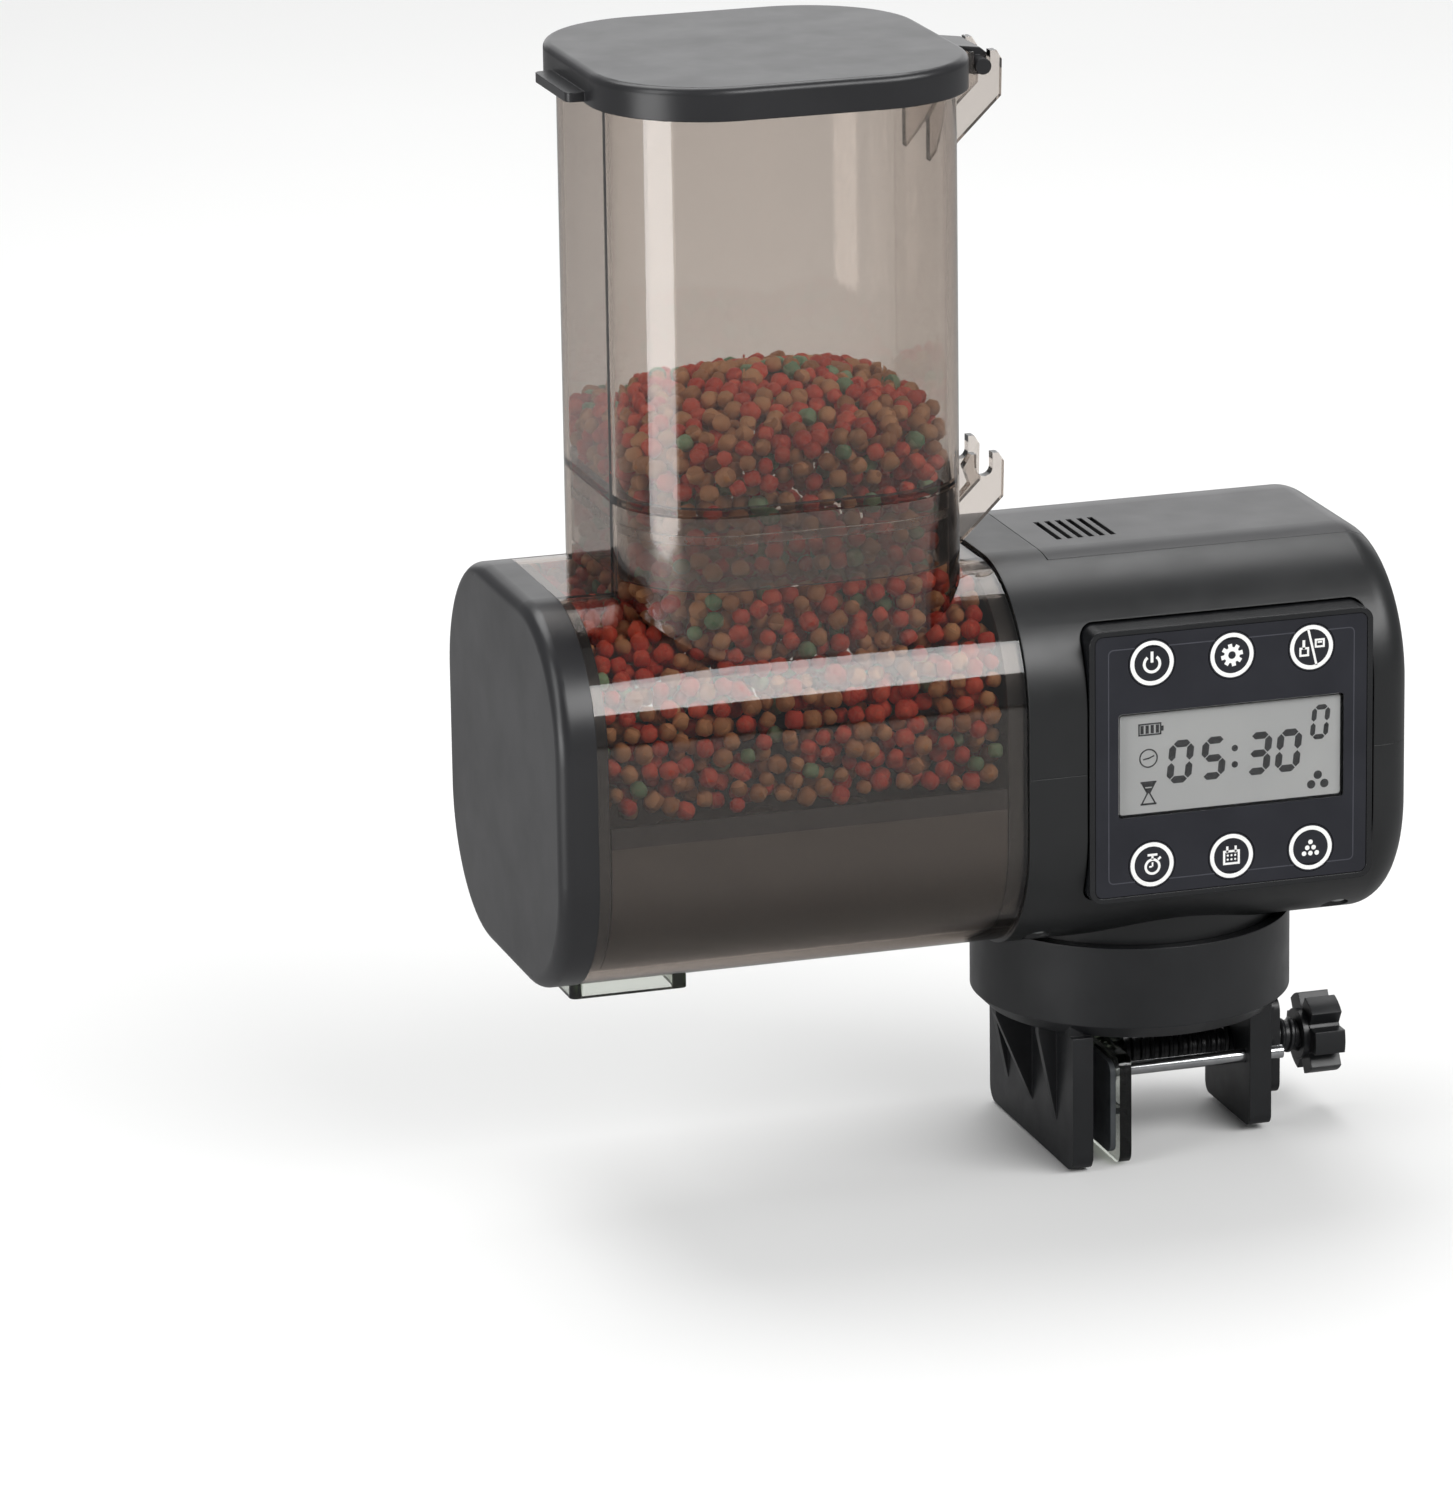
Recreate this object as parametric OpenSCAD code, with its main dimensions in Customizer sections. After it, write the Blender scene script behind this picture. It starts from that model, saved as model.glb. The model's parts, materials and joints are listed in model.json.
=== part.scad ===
// Clip-on aquarium fish feeder: a food drum with a screw conveyor, a lift-off
// extension hopper, a control housing and a swivelling rim clamp.
// Millimetres. The origin is on the swivel axis, level with the underside that
// rests on the tank rim. +X runs along the drum towards the control housing,
// +Y away from the control panel, +Z up.

/* [Body] */
// Width of the drum and housing across Y
body_w = 88; // [80:1:106]
// Height of the drum and housing
body_h = 84; // [78:1:100]
// Corner radius of the drum's outline
body_r = 29; // [24:1:34]
// Height of the drum's centre line above the tank rim
body_z = 64; // [60:1:76]
// Wall of the mouldings
wall = 2.2; // [1.8:0.1:2.8]
// Length of the clear drum
drum_len = 94.5; // [92:0.5:114]
// Thickness of the end cap
cap_len = 8.3; // [7:0.1:12]
// Length of the control housing
housing_len = 87; // [86:0.5:106]
// How far the housing stands proud of the drum all round
housing_proud = 0.75; // [0.4:0.05:1.5]
// Distance from the swivel axis to the plane where drum and housing meet
joint_offset = 38.5; // [38:0.5:46]
// Round on the housing's free end
end_round = 7; // [4:0.5:9]
// Round on the end cap's face
cap_round = 3; // [1.5:0.5:4]
// Height of the seam between the housing's two shells above the centre line
seam_rise = 0.5; // [0:0.5:3]

/* [Hopper] */
// Width of the hopper along the drum
hopper_w = 76; // [64:1:78]
// Depth of the hopper across the drum
hopper_d = 77; // [64:1:78]
// Corner radius of the hopper
hopper_r = 23; // [18:1:28]
// Height of the lift-off hopper above the neck
hopper_h = 87; // [60:1:120]
// Height of the neck's rim above the drum's crown
neck_h = 19.7; // [18:0.1:26]
// Depth of the hopper's plug in the neck
plug_depth = 16.2; // [12:0.1:17]
// Clearance round the plug
plug_gap = 0.25; // [0.15:0.05:0.5]
// Height of the lid over the hopper's rim
lid_rise = 4.3; // [3:0.1:6]
// How far the lid's skirt hangs below the rim
lid_skirt = 2.7; // [2:0.1:4]
// Thickness of the lid's walls
lid_wall = 1.9; // [1.2:0.1:2.2]
// Width of the lid's lift tab
tab_w = 24.5; // [16:0.5:34]

/* [Lid hinge] */
// Diameter of the lid's hinge pin
hinge_pin_d = 3.5; // [3:0.1:4.2]
// Distance of the hinge pin from the hopper's wall
hinge_out = 9.1; // [8.5:0.1:11]
// Depth of the hinge pin below the rim
hinge_drop = 1.8; // [1.4:0.1:2.4]
// Distance of each hook's middle from the centre plane
hook_half = 8; // [7:0.5:12]
// Thickness of a hook
hook_t = 2.5; // [2:0.1:3]

/* [Feed screw] */
// Height of the feed screw's axis above the drum's underside
screw_rise = 17; // [16.5:0.5:20]
// Radius of the feed screw's flight
flight_r = 11.8; // [10:0.1:12]
// Pitch of the flight
flight_pitch = 20; // [16:1:26]
// Diameter of the feed screw's shaft
shaft_d = 4; // [3:0.1:5]
// Radial running clearance of shafts in their bores
run_gap = 0.05; // [0.02:0.01:0.08]
// Outside width of the square outlet chute
chute_w = 26; // [22:0.5:28]
// Drop of the chute below the drum
chute_drop = 5.5; // [3:0.5:12]

/* [Gears] */
// Module of the gear teeth
gear_module = 0.8; // [0.7:0.05:0.8]
// Teeth on the feed screw's gear
gear_teeth = 34; // [30:1:34]
// Teeth on the motor's pinion
pinion_teeth = 14; // [13:1:16]
// Face width of the gears
gear_face = 4.5; // [3.5:0.5:5]

/* [Control panel] */
// Width of the panel block
panel_w = 64; // [62:1:68]
// Height of the panel block
panel_h = 60; // [58:1:62]
// Distance of the panel's left edge from the housing's joint plane
panel_inset = 13.3; // [10:0.1:14]
// How far the panel stands in front of the body's side
panel_proud = 1; // [0.8:0.1:2]
// Width of the display window
lcd_w = 51; // [46:1:53]
// Height of the display window
lcd_h = 23; // [20:1:25]
// Diameter of a key cap
key_d = 10.4; // [9:0.1:10.6]
// Spacing of the keys along a row
key_pitch = 18; // [16:0.5:19]
// Distance of each row of keys from the panel's middle
key_row = 22.2; // [21:0.1:22.4]
// Travel of a key
key_travel = 0.5; // [0.3:0.1:0.6]

/* [Batteries] */
// Width of the battery door
door_w = 44; // [44:1:50]
// Distance from the joint plane to the battery door's edge
door_inset = 12.2; // [8:0.1:13]
// Diameter of one cell
cell_d = 14.2; // [13.5:0.1:14.5]
// Length of one cell
cell_len = 50; // [44:0.5:51]

/* [Clamp] */
// Radius of the swivel cup
cup_r = 35; // [33:0.5:37]
// Wall of the swivel cup
cup_wall = 2.5; // [2:0.1:3]
// Distance of the fixed jaw's face from the swivel axis
jaw_x = 18.3; // [14:0.1:20]
// Thickness of the fixed jaw
jaw_t = 4.7; // [3.5:0.1:6]
// Width of the jaws
jaw_w = 55; // [44:1:60]
// Depth of the fixed jaw below the rim
jaw_drop = 30.5; // [27:0.5:40]
// Gap between the jaws as drawn
rim_gap = 5.4; // [4.8:0.1:10]
// Distance of the outer wall's inner face from the swivel axis
outer_x = 23; // [22:0.5:26]
// Thickness of the outer wall
outer_t = 5; // [4:0.5:6]
// Diameter of the clamp screw
clamp_d = 8; // [6:0.5:9]
// Depth of the clamp screw's axis below the rim
clamp_drop = 14; // [12.5:0.5:17]
// Diameter over the knob's lobes
knob_d = 18; // [16:0.5:24]

/* [Hidden] */
$fn = 48;

eps = 0.01;
fit = 0.2;

// Body stations
joint_x = -joint_offset;
drum_x = joint_x - drum_len;
cap_x = drum_x - cap_len;
house_x = joint_x + housing_len;
base_z = body_z - body_h / 2;
crown_z = body_z + body_h / 2;
seam_z = body_z + seam_rise;
house_w = body_w + 2 * housing_proud;
house_h = body_h + 2 * housing_proud;
house_r = body_r + housing_proud;

// Hopper stations
hopper_x = joint_x - drum_len / 2 + 2.65;
neck_z = crown_z + neck_h;
rim_z = neck_z + hopper_h;
hopper_right = hopper_x + hopper_w / 2;
hinge_x = hopper_right + hinge_out;
pin_gap = 0.08;
lid_gap = 0.7;
lid_w = hopper_w + 2 * (lid_wall + lid_gap);
lid_d = hopper_d + 2 * (lid_wall + lid_gap);

// Feed screw stations
axis_z = base_z + screw_rise;
shaft_r = shaft_d / 2;
pipe_r = flight_r + 0.6;
plug_len = 4;
trough_x0 = drum_x + 3.2;
trough_x1 = joint_x - plug_len - 0.2;
outlet_x = drum_x + 2 + chute_w / 2;
outlet_w = chute_w - 2 * 1.8;
bush_r = 3.6;

// Gear train: the bulkhead, the gears, the gear plate and the motor in a row
bulk_t = 2.4;
gear_x = joint_x + bulk_t + 1.6;
plate_x = gear_x + gear_face + 1.6;
plate_t = 2;
gear_pr = gear_module * gear_teeth / 2;
pinion_pr = gear_module * pinion_teeth / 2;
gear_centres = gear_pr + pinion_pr;
pinion_angle = 50;
pinion_y = gear_centres * cos(pinion_angle);
pinion_z = axis_z + gear_centres * sin(pinion_angle);
motor_r = 12;
motor_len = 38;

// Panel stations, from the front face backwards
panel_y = -(body_w / 2 + panel_proud);
panel_x = joint_x + panel_inset + panel_w / 2;
panel_z = body_z + 1.5;
bezel_depth = 12;
bezel_front = 2.2;
bezel_wall = 1.6;
bezel_gap = 0.4;
key_gap = 0.15;
key_lip = 0.5;
overlay_t = 0.9;
overlay_inset = 1.2;
recess = overlay_t + 0.1;
ledge = 0.4;
key_flange_y = panel_y + bezel_front + 0.1;
key_flange_t = 1;
key_stem = 1.2;
mat_y = key_flange_y + key_flange_t + key_stem + key_travel + 0.1;
dome_h = 0.7;
mat_t = 0.8;
board_y = mat_y + dome_h + mat_t + 0.05;
board_t = 1.6;

// Battery stations
door_x = joint_x + door_inset;
door_t = 5.4;
door_z = crown_z + housing_proud - door_t;
tongue = 1.6;
tongue_t = 1.2;
tray_wall = 1.4;
cell_pitch = cell_d + 0.4;
tray_len = cell_len + 6 + 2 * tray_wall;
tray_w = 3 * cell_pitch + 2 * tray_wall + 0.4;
tray_h = cell_d + tray_wall + 0.6;
tray_x = door_x + 5 + tray_len / 2;
tray_top = door_z - 0.15;
flange_t = 0.8;
deck_t = 1.8;
deck_z = tray_top - flange_t - deck_t;
groove_from = 6.4;
groove_pitch = 2.45;
groove_y = -9.7;
groove_len = 15.5;

// Clamp stations
cup_z = base_z - housing_proud - 0.35;
cup_floor = 3;
cup_chamfer = 3;
hub_z = 4.2;
hub_t = 2.8;
post_r = 5;
spigot_r = cup_r - cup_wall - 0.4;
pad_t = 1.2;
press_t = 2.7;
pad_x = -jaw_x + rim_gap;
press_x = pad_x + pad_t;
press_z0 = -6;
hub_len = 6;
rod_y = 10.4;
rod_r = 1.5;
outer_w = 28;
boss_len = 4.5;
boss_x = outer_x + outer_t + boss_len;
knob_x = boss_x + 6.5;
knob_collar = 1.4;
knob_t = 7;

// ---------- shared shapes ----------

// Rounded rectangle, w by h, with true arcs at its corners
module rounded_rect(w, h, r) {
    square([w - 2 * r, h], center = true);
    square([w, h - 2 * r], center = true);
    for (sx = [-1, 1], sy = [-1, 1])
        translate([sx * (w / 2 - r), sy * (h / 2 - r)]) circle(r);
}

// Stands a profile drawn in Y and Z on its end and runs it along X
module along_x(x, len) {
    translate([x, 0, 0]) rotate([90, 0, 90]) linear_extrude(len) children();
}

// Runs a profile drawn in X and Z from y backwards
module along_y(y, len) {
    translate([0, y + len, 0]) rotate([90, 0, 0]) linear_extrude(len) children();
}

// Rounded-rectangle block standing on z = 0, its top edge rounded by f
module pillow(w, h, r, t, f) {
    module edge(half) {
        square([half - f, t]);
        square([half, t - f]);
        translate([half - f, t - f]) circle(f);
    }
    module bar(width, len) {
        rotate([90, 0, 0]) linear_extrude(len, center = true) {
            edge(width / 2);
            mirror([1, 0]) edge(width / 2);
        }
    }
    intersection() {
        translate([-w, -h, 0]) cube([2 * w, 2 * h, t]);
        union() {
            bar(w, h - 2 * r);
            rotate(90) bar(h, w - 2 * r);
            for (sx = [-1, 1], sy = [-1, 1])
                translate([sx * (w / 2 - r), sy * (h / 2 - r), 0])
                    rotate_extrude() intersection() {
                        edge(r);
                        translate([0, -t]) square([2 * r, 3 * t]);
                    }
        }
    }
}

// The drum's outline about its centre line, made smaller by inset
module body_outline(inset = 0) {
    translate([0, body_z])
        rounded_rect(body_w - 2 * inset, body_h - 2 * inset, body_r - inset);
}

// The housing's block, made smaller by inset, with a rounded free end
module housing_block(inset = 0) {
    translate([joint_x, 0, body_z]) rotate([90, 0, 90])
        pillow(house_w - 2 * inset, house_h - 2 * inset, house_r - inset,
            housing_len - inset, end_round - inset);
}

// The hopper's outline in plan, made smaller by inset
module hopper_outline(inset = 0) {
    translate([hopper_x, 0])
        rounded_rect(hopper_w - 2 * inset, hopper_d - 2 * inset, hopper_r - inset);
}

module hopper_tube(z0, z1, outer, inner) {
    translate([0, 0, z0]) linear_extrude(z1 - z0) difference() {
        hopper_outline(outer);
        hopper_outline(inner);
    }
}

// One hook of the lid's hinge on a wall whose rim is at z: an arm with a fork
// that takes the lid's pin from above
module hinge_hook(z, side) {
    pz = z - hinge_drop;
    slot_r = hinge_pin_d / 2 + pin_gap;
    root = -hinge_out - wall / 2;
    along_y(side * hook_half - hook_t / 2, hook_t) translate([hinge_x, pz]) difference() {
        polygon([
            [4.4, 1.2], [3.2, 3.1], [-3.0, 3.1], [-4.6, 0.6], [-3.2, -3.4],
            [root, -11], [root, -19.5], [root + wall / 2, -19.5], [4.2, -6.6]
        ]);
        circle(slot_r);
        translate([-slot_r, 0]) square([2 * slot_r, 5]);
    }
}

// ---------- clamp ----------

// Plate below the cup, square where it meets the rim and rounded at its lower
// corners
module hanging_plate(w, top, drop, r) {
    translate([-w / 2, r - drop]) square([w, top + drop - r]);
    translate([r - w / 2, -drop]) square([w - 2 * r, 2 * r]);
    for (s = [-1, 1]) translate([s * (w / 2 - r), r - drop]) circle(r);
}

module clamp_body() {
    // Three triangular webs brace the fixed jaw against the cup's rim
    module web(y) {
        reach = sqrt(pow(cup_r - cup_chamfer, 2) - y * y) - 0.6;
        along_y(y - 1.1, 2.2) polygon([
            [-jaw_x - jaw_t / 2, 1], [-reach, 1], [-reach, -1.5],
            [-jaw_x - jaw_t, -jaw_drop * 0.72], [-jaw_x - jaw_t / 2, -jaw_drop * 0.72]
        ]);
    }
    color("#26272a") difference() {
        union() {
            // Cup
            rotate_extrude($fn = 96) polygon([
                [0, 0], [cup_r - cup_chamfer, 0], [cup_r, cup_chamfer], [cup_r, cup_z],
                [cup_r - cup_wall, cup_z], [cup_r - cup_wall, cup_floor], [12.5, cup_floor],
                [12.5, hub_z + hub_t], [0, hub_z + hub_t]
            ]);
            // Fixed jaw
            along_x(-jaw_x - jaw_t, jaw_t) hanging_plate(jaw_w, 0, jaw_drop, 3.5);
            along_x(-jaw_x - jaw_t, jaw_t) translate([-spigot_r * 0.8, -5])
                square([spigot_r * 1.6, 5 + cup_floor]);
            for (y = [-16, 0, 16]) web(y);
            // Outer wall and its screw boss
            along_x(outer_x, outer_t) hanging_plate(outer_w, 0.5, jaw_drop - 0.9, 2.5);
            along_x(outer_x + outer_t - eps, boss_len + eps)
                translate([0, -clamp_drop]) rounded_rect(15, 22, 3);
            for (s = [-1, 1]) along_y(s * 11.2 - 0.9, 1.8) polygon([
                [outer_x + outer_t - 1, -3], [outer_x + outer_t + 1.4, -3],
                [outer_x + outer_t, -jaw_drop + 6], [outer_x + outer_t - 1, -jaw_drop + 6]
            ]);
        }
        // Recess for the swivel screw, and the bore that the swivel turns in
        translate([0, 0, -1]) cylinder(r = 10, h = hub_z + 1);
        translate([0, 0, -1]) cylinder(r = post_r + run_gap, h = hub_z + hub_t + 2);
        // Screw bore and guide holes
        translate([outer_x - 1, 0, -clamp_drop]) rotate([0, 90, 0])
            cylinder(d = clamp_d + 2 * run_gap, h = outer_t + boss_len + 2);
        for (s = [-1, 1]) translate([outer_x - 1, s * rod_y, -clamp_drop]) rotate([0, 90, 0])
            cylinder(r = rod_r + run_gap, h = outer_t + 4);
    }
}

module pressure_plate() {
    plate_h = jaw_drop + press_z0;
    mid = press_z0 - plate_h / 2;
    color("#6d6f66", 0.6) difference() {
        union() {
            along_x(press_x, press_t) translate([0, mid]) rounded_rect(jaw_w - 3, plate_h, 3);
            translate([press_x, 0, -clamp_drop]) rotate([0, 90, 0])
                cylinder(r = clamp_d / 2 + 2.6, h = press_t + hub_len);
            for (s = [-1, 1]) translate([press_x, s * rod_y, -clamp_drop]) rotate([0, 90, 0])
                cylinder(r = rod_r + 1.4, h = press_t + 3.2);
            for (dz = [-5.5, 5.5]) along_x(press_x + press_t - eps, 1.6)
                translate([0, -clamp_drop + dz]) square([jaw_w - 12, 1.4], center = true);
        }
        translate([press_x + 1, 0, -clamp_drop]) rotate([0, 90, 0])
            cylinder(r = clamp_d / 2 - 1 + run_gap, h = press_t + hub_len);
        for (s = [-1, 1]) translate([press_x + 0.8, s * rod_y, -clamp_drop]) rotate([0, 90, 0])
            cylinder(r = rod_r, h = 10);
    }
}

module pressure_pad() {
    color("#7d7f76") along_x(pad_x, pad_t)
        translate([0, press_z0 - (jaw_drop + press_z0) / 2])
            rounded_rect(jaw_w - 8, jaw_drop + press_z0 - 4, 2.5);
}

module guide_rods() {
    color("#c9cbcc") for (s = [-1, 1])
        translate([press_x + 0.8, s * rod_y, -clamp_drop]) rotate([0, 90, 0])
            cylinder(r = rod_r, h = outer_x + outer_t + 3 - press_x);
}

module clamp_screw() {
    tip_x = press_x + 1.2;
    body_x = press_x + press_t + hub_len + 0.2;
    color("#1d1e20") {
        translate([tip_x, 0, -clamp_drop]) rotate([0, 90, 0])
            cylinder(r = clamp_d / 2 - 1, h = body_x - tip_x + 1);
        translate([body_x, 0, -clamp_drop]) rotate([0, 90, 0])
            cylinder(d = clamp_d, h = knob_x - body_x);
    }
}

module clamp_knob() {
    lobes = 6;
    module outline(r) {
        intersection() {
            circle(r);
            union() {
                circle(r * 0.66);
                for (i = [0 : lobes - 1]) rotate(i * 360 / lobes)
                    translate([0, -r * 0.29]) square([r + 1, r * 0.58]);
            }
        }
    }
    color("#202124") translate([knob_x, 0, -clamp_drop]) rotate([90, 0, 90]) {
        cylinder(d = clamp_d + 3.4, h = knob_collar + eps);
        translate([0, 0, knob_collar]) linear_extrude(knob_t) outline(knob_d / 2);
    }
}

// ---------- swivel ----------

module swivel_washer() {
    color("#c9cbcc") translate([0, 0, hub_z - 0.9]) difference() {
        cylinder(r = 9, h = 0.8);
        translate([0, 0, -1]) cylinder(r = 1.7, h = 3);
    }
}

module swivel_screw() {
    color("#c9cbcc") {
        translate([0, 0, hub_z - 2.9]) cylinder(r = 3.4, h = 2);
        translate([0, 0, hub_z - 1.2]) cylinder(r = 1.5, h = 13);
    }
}

// ---------- housing ----------

module housing_cavity() {
    housing_block(wall);
}

// Where the housing's four screws stand
post_radius = 4;
screw_spots = [
    for (x = [joint_x + bulk_t + post_radius + fit, house_x - 12], y = [-1, 1])
        [x, y * (house_w / 2 - 15.5)]
];
housing_screw_r = 1.5;
head_z = base_z + 3;

// Posts for the housing's screws, which reach from the seam to the shell
module screw_posts(z, h) {
    for (p = screw_spots) translate([p[0], p[1], z]) cylinder(r = post_radius, h = h);
}

module panel_cut(gap) {
    along_y(panel_y - 5, bezel_depth + 5) translate([panel_x, panel_z])
        rounded_rect(panel_w + 2 * gap, panel_h + 2 * gap, 3 + gap);
}

module door_shape(gap) {
    half = door_w / 2 + gap;
    intersection() {
        housing_block(0);
        union() {
            translate([door_x - gap, -half, door_z - gap])
                cube([housing_len, 2 * half, door_t + 5]);
            translate([door_x - gap, -half - tongue, door_z - gap])
                cube([housing_len, 2 * half + 2 * tongue, tongue_t + 2 * gap]);
        }
    }
}

module housing_lower() {
    post_len = base_z - hub_z;
    color("#232427") difference() {
        union() {
            difference() {
                union() {
                    housing_block(0);
                    // Turntable ring that drops into the swivel cup
                    translate([0, 0, base_z - 13]) cylinder(r = spigot_r, h = 24, $fn = 96);
                }
                difference() {
                    housing_cavity();
                    screw_posts(0, seam_z);
                }
                difference() {
                    translate([0, 0, base_z - 14])
                        cylinder(r = spigot_r - wall, h = 14 - housing_proud, $fn = 96);
                    // Ribs from the ring to the pivot post
                    for (a = [0, 90]) rotate(a) translate([-spigot_r, -0.9, base_z - 10])
                        cube([2 * spigot_r, 1.8, 20]);
                }
            }
            // Pivot post, with a shoulder that bears on the cup's hub
            translate([0, 0, hub_z + hub_t + 0.05]) cylinder(r = 7, h = base_z - hub_z - hub_t);
            translate([0, 0, hub_z - 0.08]) cylinder(r = post_r, h = post_len);
        }
        // Everything above the seam belongs to the upper shell
        translate([joint_x - 5, -house_w, seam_z]) cube([housing_len + 20, 2 * house_w, house_h]);
        panel_cut(bezel_gap);
        translate([0, 0, hub_z - 1]) cylinder(r = 1.5, h = 13);
        for (p = screw_spots) translate([p[0], p[1], 0]) {
            cylinder(r = 1.7, h = seam_z + 1);
            cylinder(r = 3, h = head_z + 3);
        }
    }
}

module housing_upper() {
    color("#232427") difference() {
        housing_block(0);
        difference() {
            housing_cavity();
            screw_posts(seam_z, house_h / 2);
            // Deck that the battery tray hangs in
            translate([door_x - 4, -body_w, deck_z]) difference() {
                cube([housing_len, 2 * body_w, deck_t]);
                translate([tray_x - tray_len / 2 - fit - door_x + 4, body_w - tray_w / 2 - fit, -1])
                    cube([tray_len + 2 * fit, tray_w + 2 * fit, deck_t + 2]);
            }
        }
        translate([joint_x - 5, -house_w, seam_z - house_h])
            cube([housing_len + 20, 2 * house_w, house_h]);
        panel_cut(bezel_gap);
        door_shape(0.15);
        for (p = screw_spots) translate([p[0], p[1], seam_z - 1])
            cylinder(r = housing_screw_r, h = 15);
    }
}

module housing_screws() {
    color("#b9bbbd") for (p = screw_spots) translate([p[0], p[1], head_z]) {
        translate([0, 0, 1]) cylinder(r = 2.8, h = 2);
        translate([0, 0, 2.9]) cylinder(r = housing_screw_r, h = seam_z - head_z + 9);
    }
}

module bulkhead() {
    inner = wall + fit;
    color("#1b1c1e") difference() {
        union() {
            along_x(joint_x, bulk_t) translate([0, body_z]) rounded_rect(
                house_w - 2 * inner, house_h - 2 * inner, house_r - inner);
            // Spigot ring inside the drum
            along_x(joint_x - plug_len, plug_len + eps) difference() {
                body_outline(inner);
                body_outline(inner + 1.8);
            }
            translate([joint_x - plug_len, 0, axis_z]) rotate([0, 90, 0])
                cylinder(r = 6.4, h = plug_len + bulk_t);
            // Standoffs for the gear plate
            for (p = standoffs) translate([joint_x + 1, p[0], p[1]]) rotate([0, 90, 0])
                cylinder(r = 2.6, h = plate_x - joint_x - 1);
        }
        translate([joint_x - plug_len - 1, 0, axis_z]) rotate([0, 90, 0])
            cylinder(r = shaft_r + run_gap, h = 20);
        translate([joint_x - plug_len - 1, 0, axis_z]) rotate([0, 90, 0])
            cylinder(r = 4.4, h = 2.6);
    }
}

// Gear plate standoffs, clear of both gears
standoffs = [
    [-(gear_pr + 5), axis_z + 4], [-4, pinion_z + pinion_pr + 6],
    [pinion_y + pinion_pr + 4.4, pinion_z + 2]
];

module gear_plate() {
    color("#2b2c2f") difference() {
        along_x(plate_x, plate_t) difference() {
            translate([1.5, (axis_z + pinion_z) / 2 + 2])
                rounded_rect(46, gear_centres + 26, 6);
            translate([pinion_y, pinion_z]) circle(4.2);
        }
        translate([plate_x - 1, 0, axis_z]) rotate([0, 90, 0])
            cylinder(r = shaft_r + run_gap, h = plate_t + 2);
        for (p = motor_bolts) translate([plate_x - 1, p[0], p[1]]) rotate([0, 90, 0])
            cylinder(r = 1.1, h = plate_t + 2);
    }
}

motor_bolts = [for (s = [-1, 1]) [pinion_y + s * 8.5 * sin(30), pinion_z + s * 8.5 * cos(30)]];

module gear_motor() {
    x = plate_x + plate_t;
    color("#a9abad") difference() {
        union() {
            translate([x, pinion_y, pinion_z]) rotate([0, 90, 0]) cylinder(r = motor_r, h = 14);
            translate([x + 14 - eps, pinion_y, pinion_z]) rotate([0, 90, 0])
                cylinder(r = motor_r - 1.6, h = motor_len - 14);
            translate([x + motor_len - eps, pinion_y, pinion_z]) rotate([0, 90, 0])
                cylinder(r = 3, h = 2);
        }
        for (p = motor_bolts) translate([x - 1, p[0], p[1]]) rotate([0, 90, 0])
            cylinder(r = 1, h = 4.2);
        translate([x - 1, pinion_y, pinion_z]) rotate([0, 90, 0])
            cylinder(r = 1.5 + run_gap, h = 12);
    }
}

module motor_screws() {
    color("#c9cbcc") for (p = motor_bolts) translate([plate_x, p[0], p[1]]) rotate([0, 90, 0]) {
        translate([0, 0, -1]) cylinder(r = 1.8, h = 1);
        translate([0, 0, -0.1]) cylinder(r = 1, h = plate_t + 3);
    }
}

// ---------- gears ----------

pressure_angle = 25;
backlash = 0.16;

function involute(rb, a) = [
    rb * (cos(a) + a * PI / 180 * sin(a)),
    rb * (sin(a) - a * PI / 180 * cos(a))
];
function turn(p, a) = [p[0] * cos(a) - p[1] * sin(a), p[0] * sin(a) + p[1] * cos(a)];
function roll(rb, r) = sqrt(pow(r / rb, 2) - 1) * 180 / PI;

// One tooth, pointing along X, from the root circle out to the tip
module tooth(m, n) {
    pr = m * n / 2;
    rb = pr * cos(pressure_angle);
    tip = pr + 0.85 * m;
    root = pr - 1.1 * m;
    low = max(rb, root);
    inv_p = tan(pressure_angle) * 180 / PI - pressure_angle;
    half = 90 / n + inv_p - backlash / (2 * pr) * 180 / PI;
    a0 = low > rb ? roll(rb, low) : 0;
    a1 = roll(rb, tip);
    steps = 4;
    flank = [for (i = [0 : steps]) turn(involute(rb, a0 + (a1 - a0) * i / steps), -half)];
    back = [for (i = [steps : -1 : 0]) [flank[i][0], -flank[i][1]]];
    foot = turn([root - 0.3, 0], -half);
    polygon(concat([foot], flank, back, [[foot[0], -foot[1]]]));
}

module spur_gear(m, n, bore_r) {
    difference() {
        union() {
            circle(m * n / 2 - 1.1 * m, $fn = 96);
            for (i = [0 : n - 1]) rotate(i * 360 / n) tooth(m, n);
        }
        circle(bore_r);
    }
}

module feed_gear() {
    color("#e8e6df") translate([gear_x, 0, axis_z]) rotate([90, 0, 90]) difference() {
        union() {
            // A tooth of this gear points at the pinion
            linear_extrude(gear_face) rotate(pinion_angle) spur_gear(gear_module, gear_teeth, shaft_r);
            cylinder(r = 4.5, h = gear_face + 1);
        }
        translate([0, 0, -1]) cylinder(r = shaft_r, h = gear_face + 3);
        for (i = [0 : 4]) rotate(i * 72) translate([gear_pr * 0.56, 0, -1])
            cylinder(r = gear_pr * 0.17, h = gear_face + 3);
    }
}

module motor_pinion() {
    color("#b08d4c") translate([gear_x, pinion_y, pinion_z]) rotate([90, 0, 90]) {
        // A gap of the pinion faces the feed gear's tooth
        linear_extrude(gear_face) rotate(pinion_angle + 180 + 180 / pinion_teeth)
            spur_gear(gear_module, pinion_teeth, 0.5);
        translate([0, 0, gear_face - eps])
            cylinder(r = 1.5, h = plate_x + plate_t + 9 - gear_x - gear_face);
        cylinder(r = 1.5, h = gear_face);
    }
}

// ---------- feed screw ----------

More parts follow.
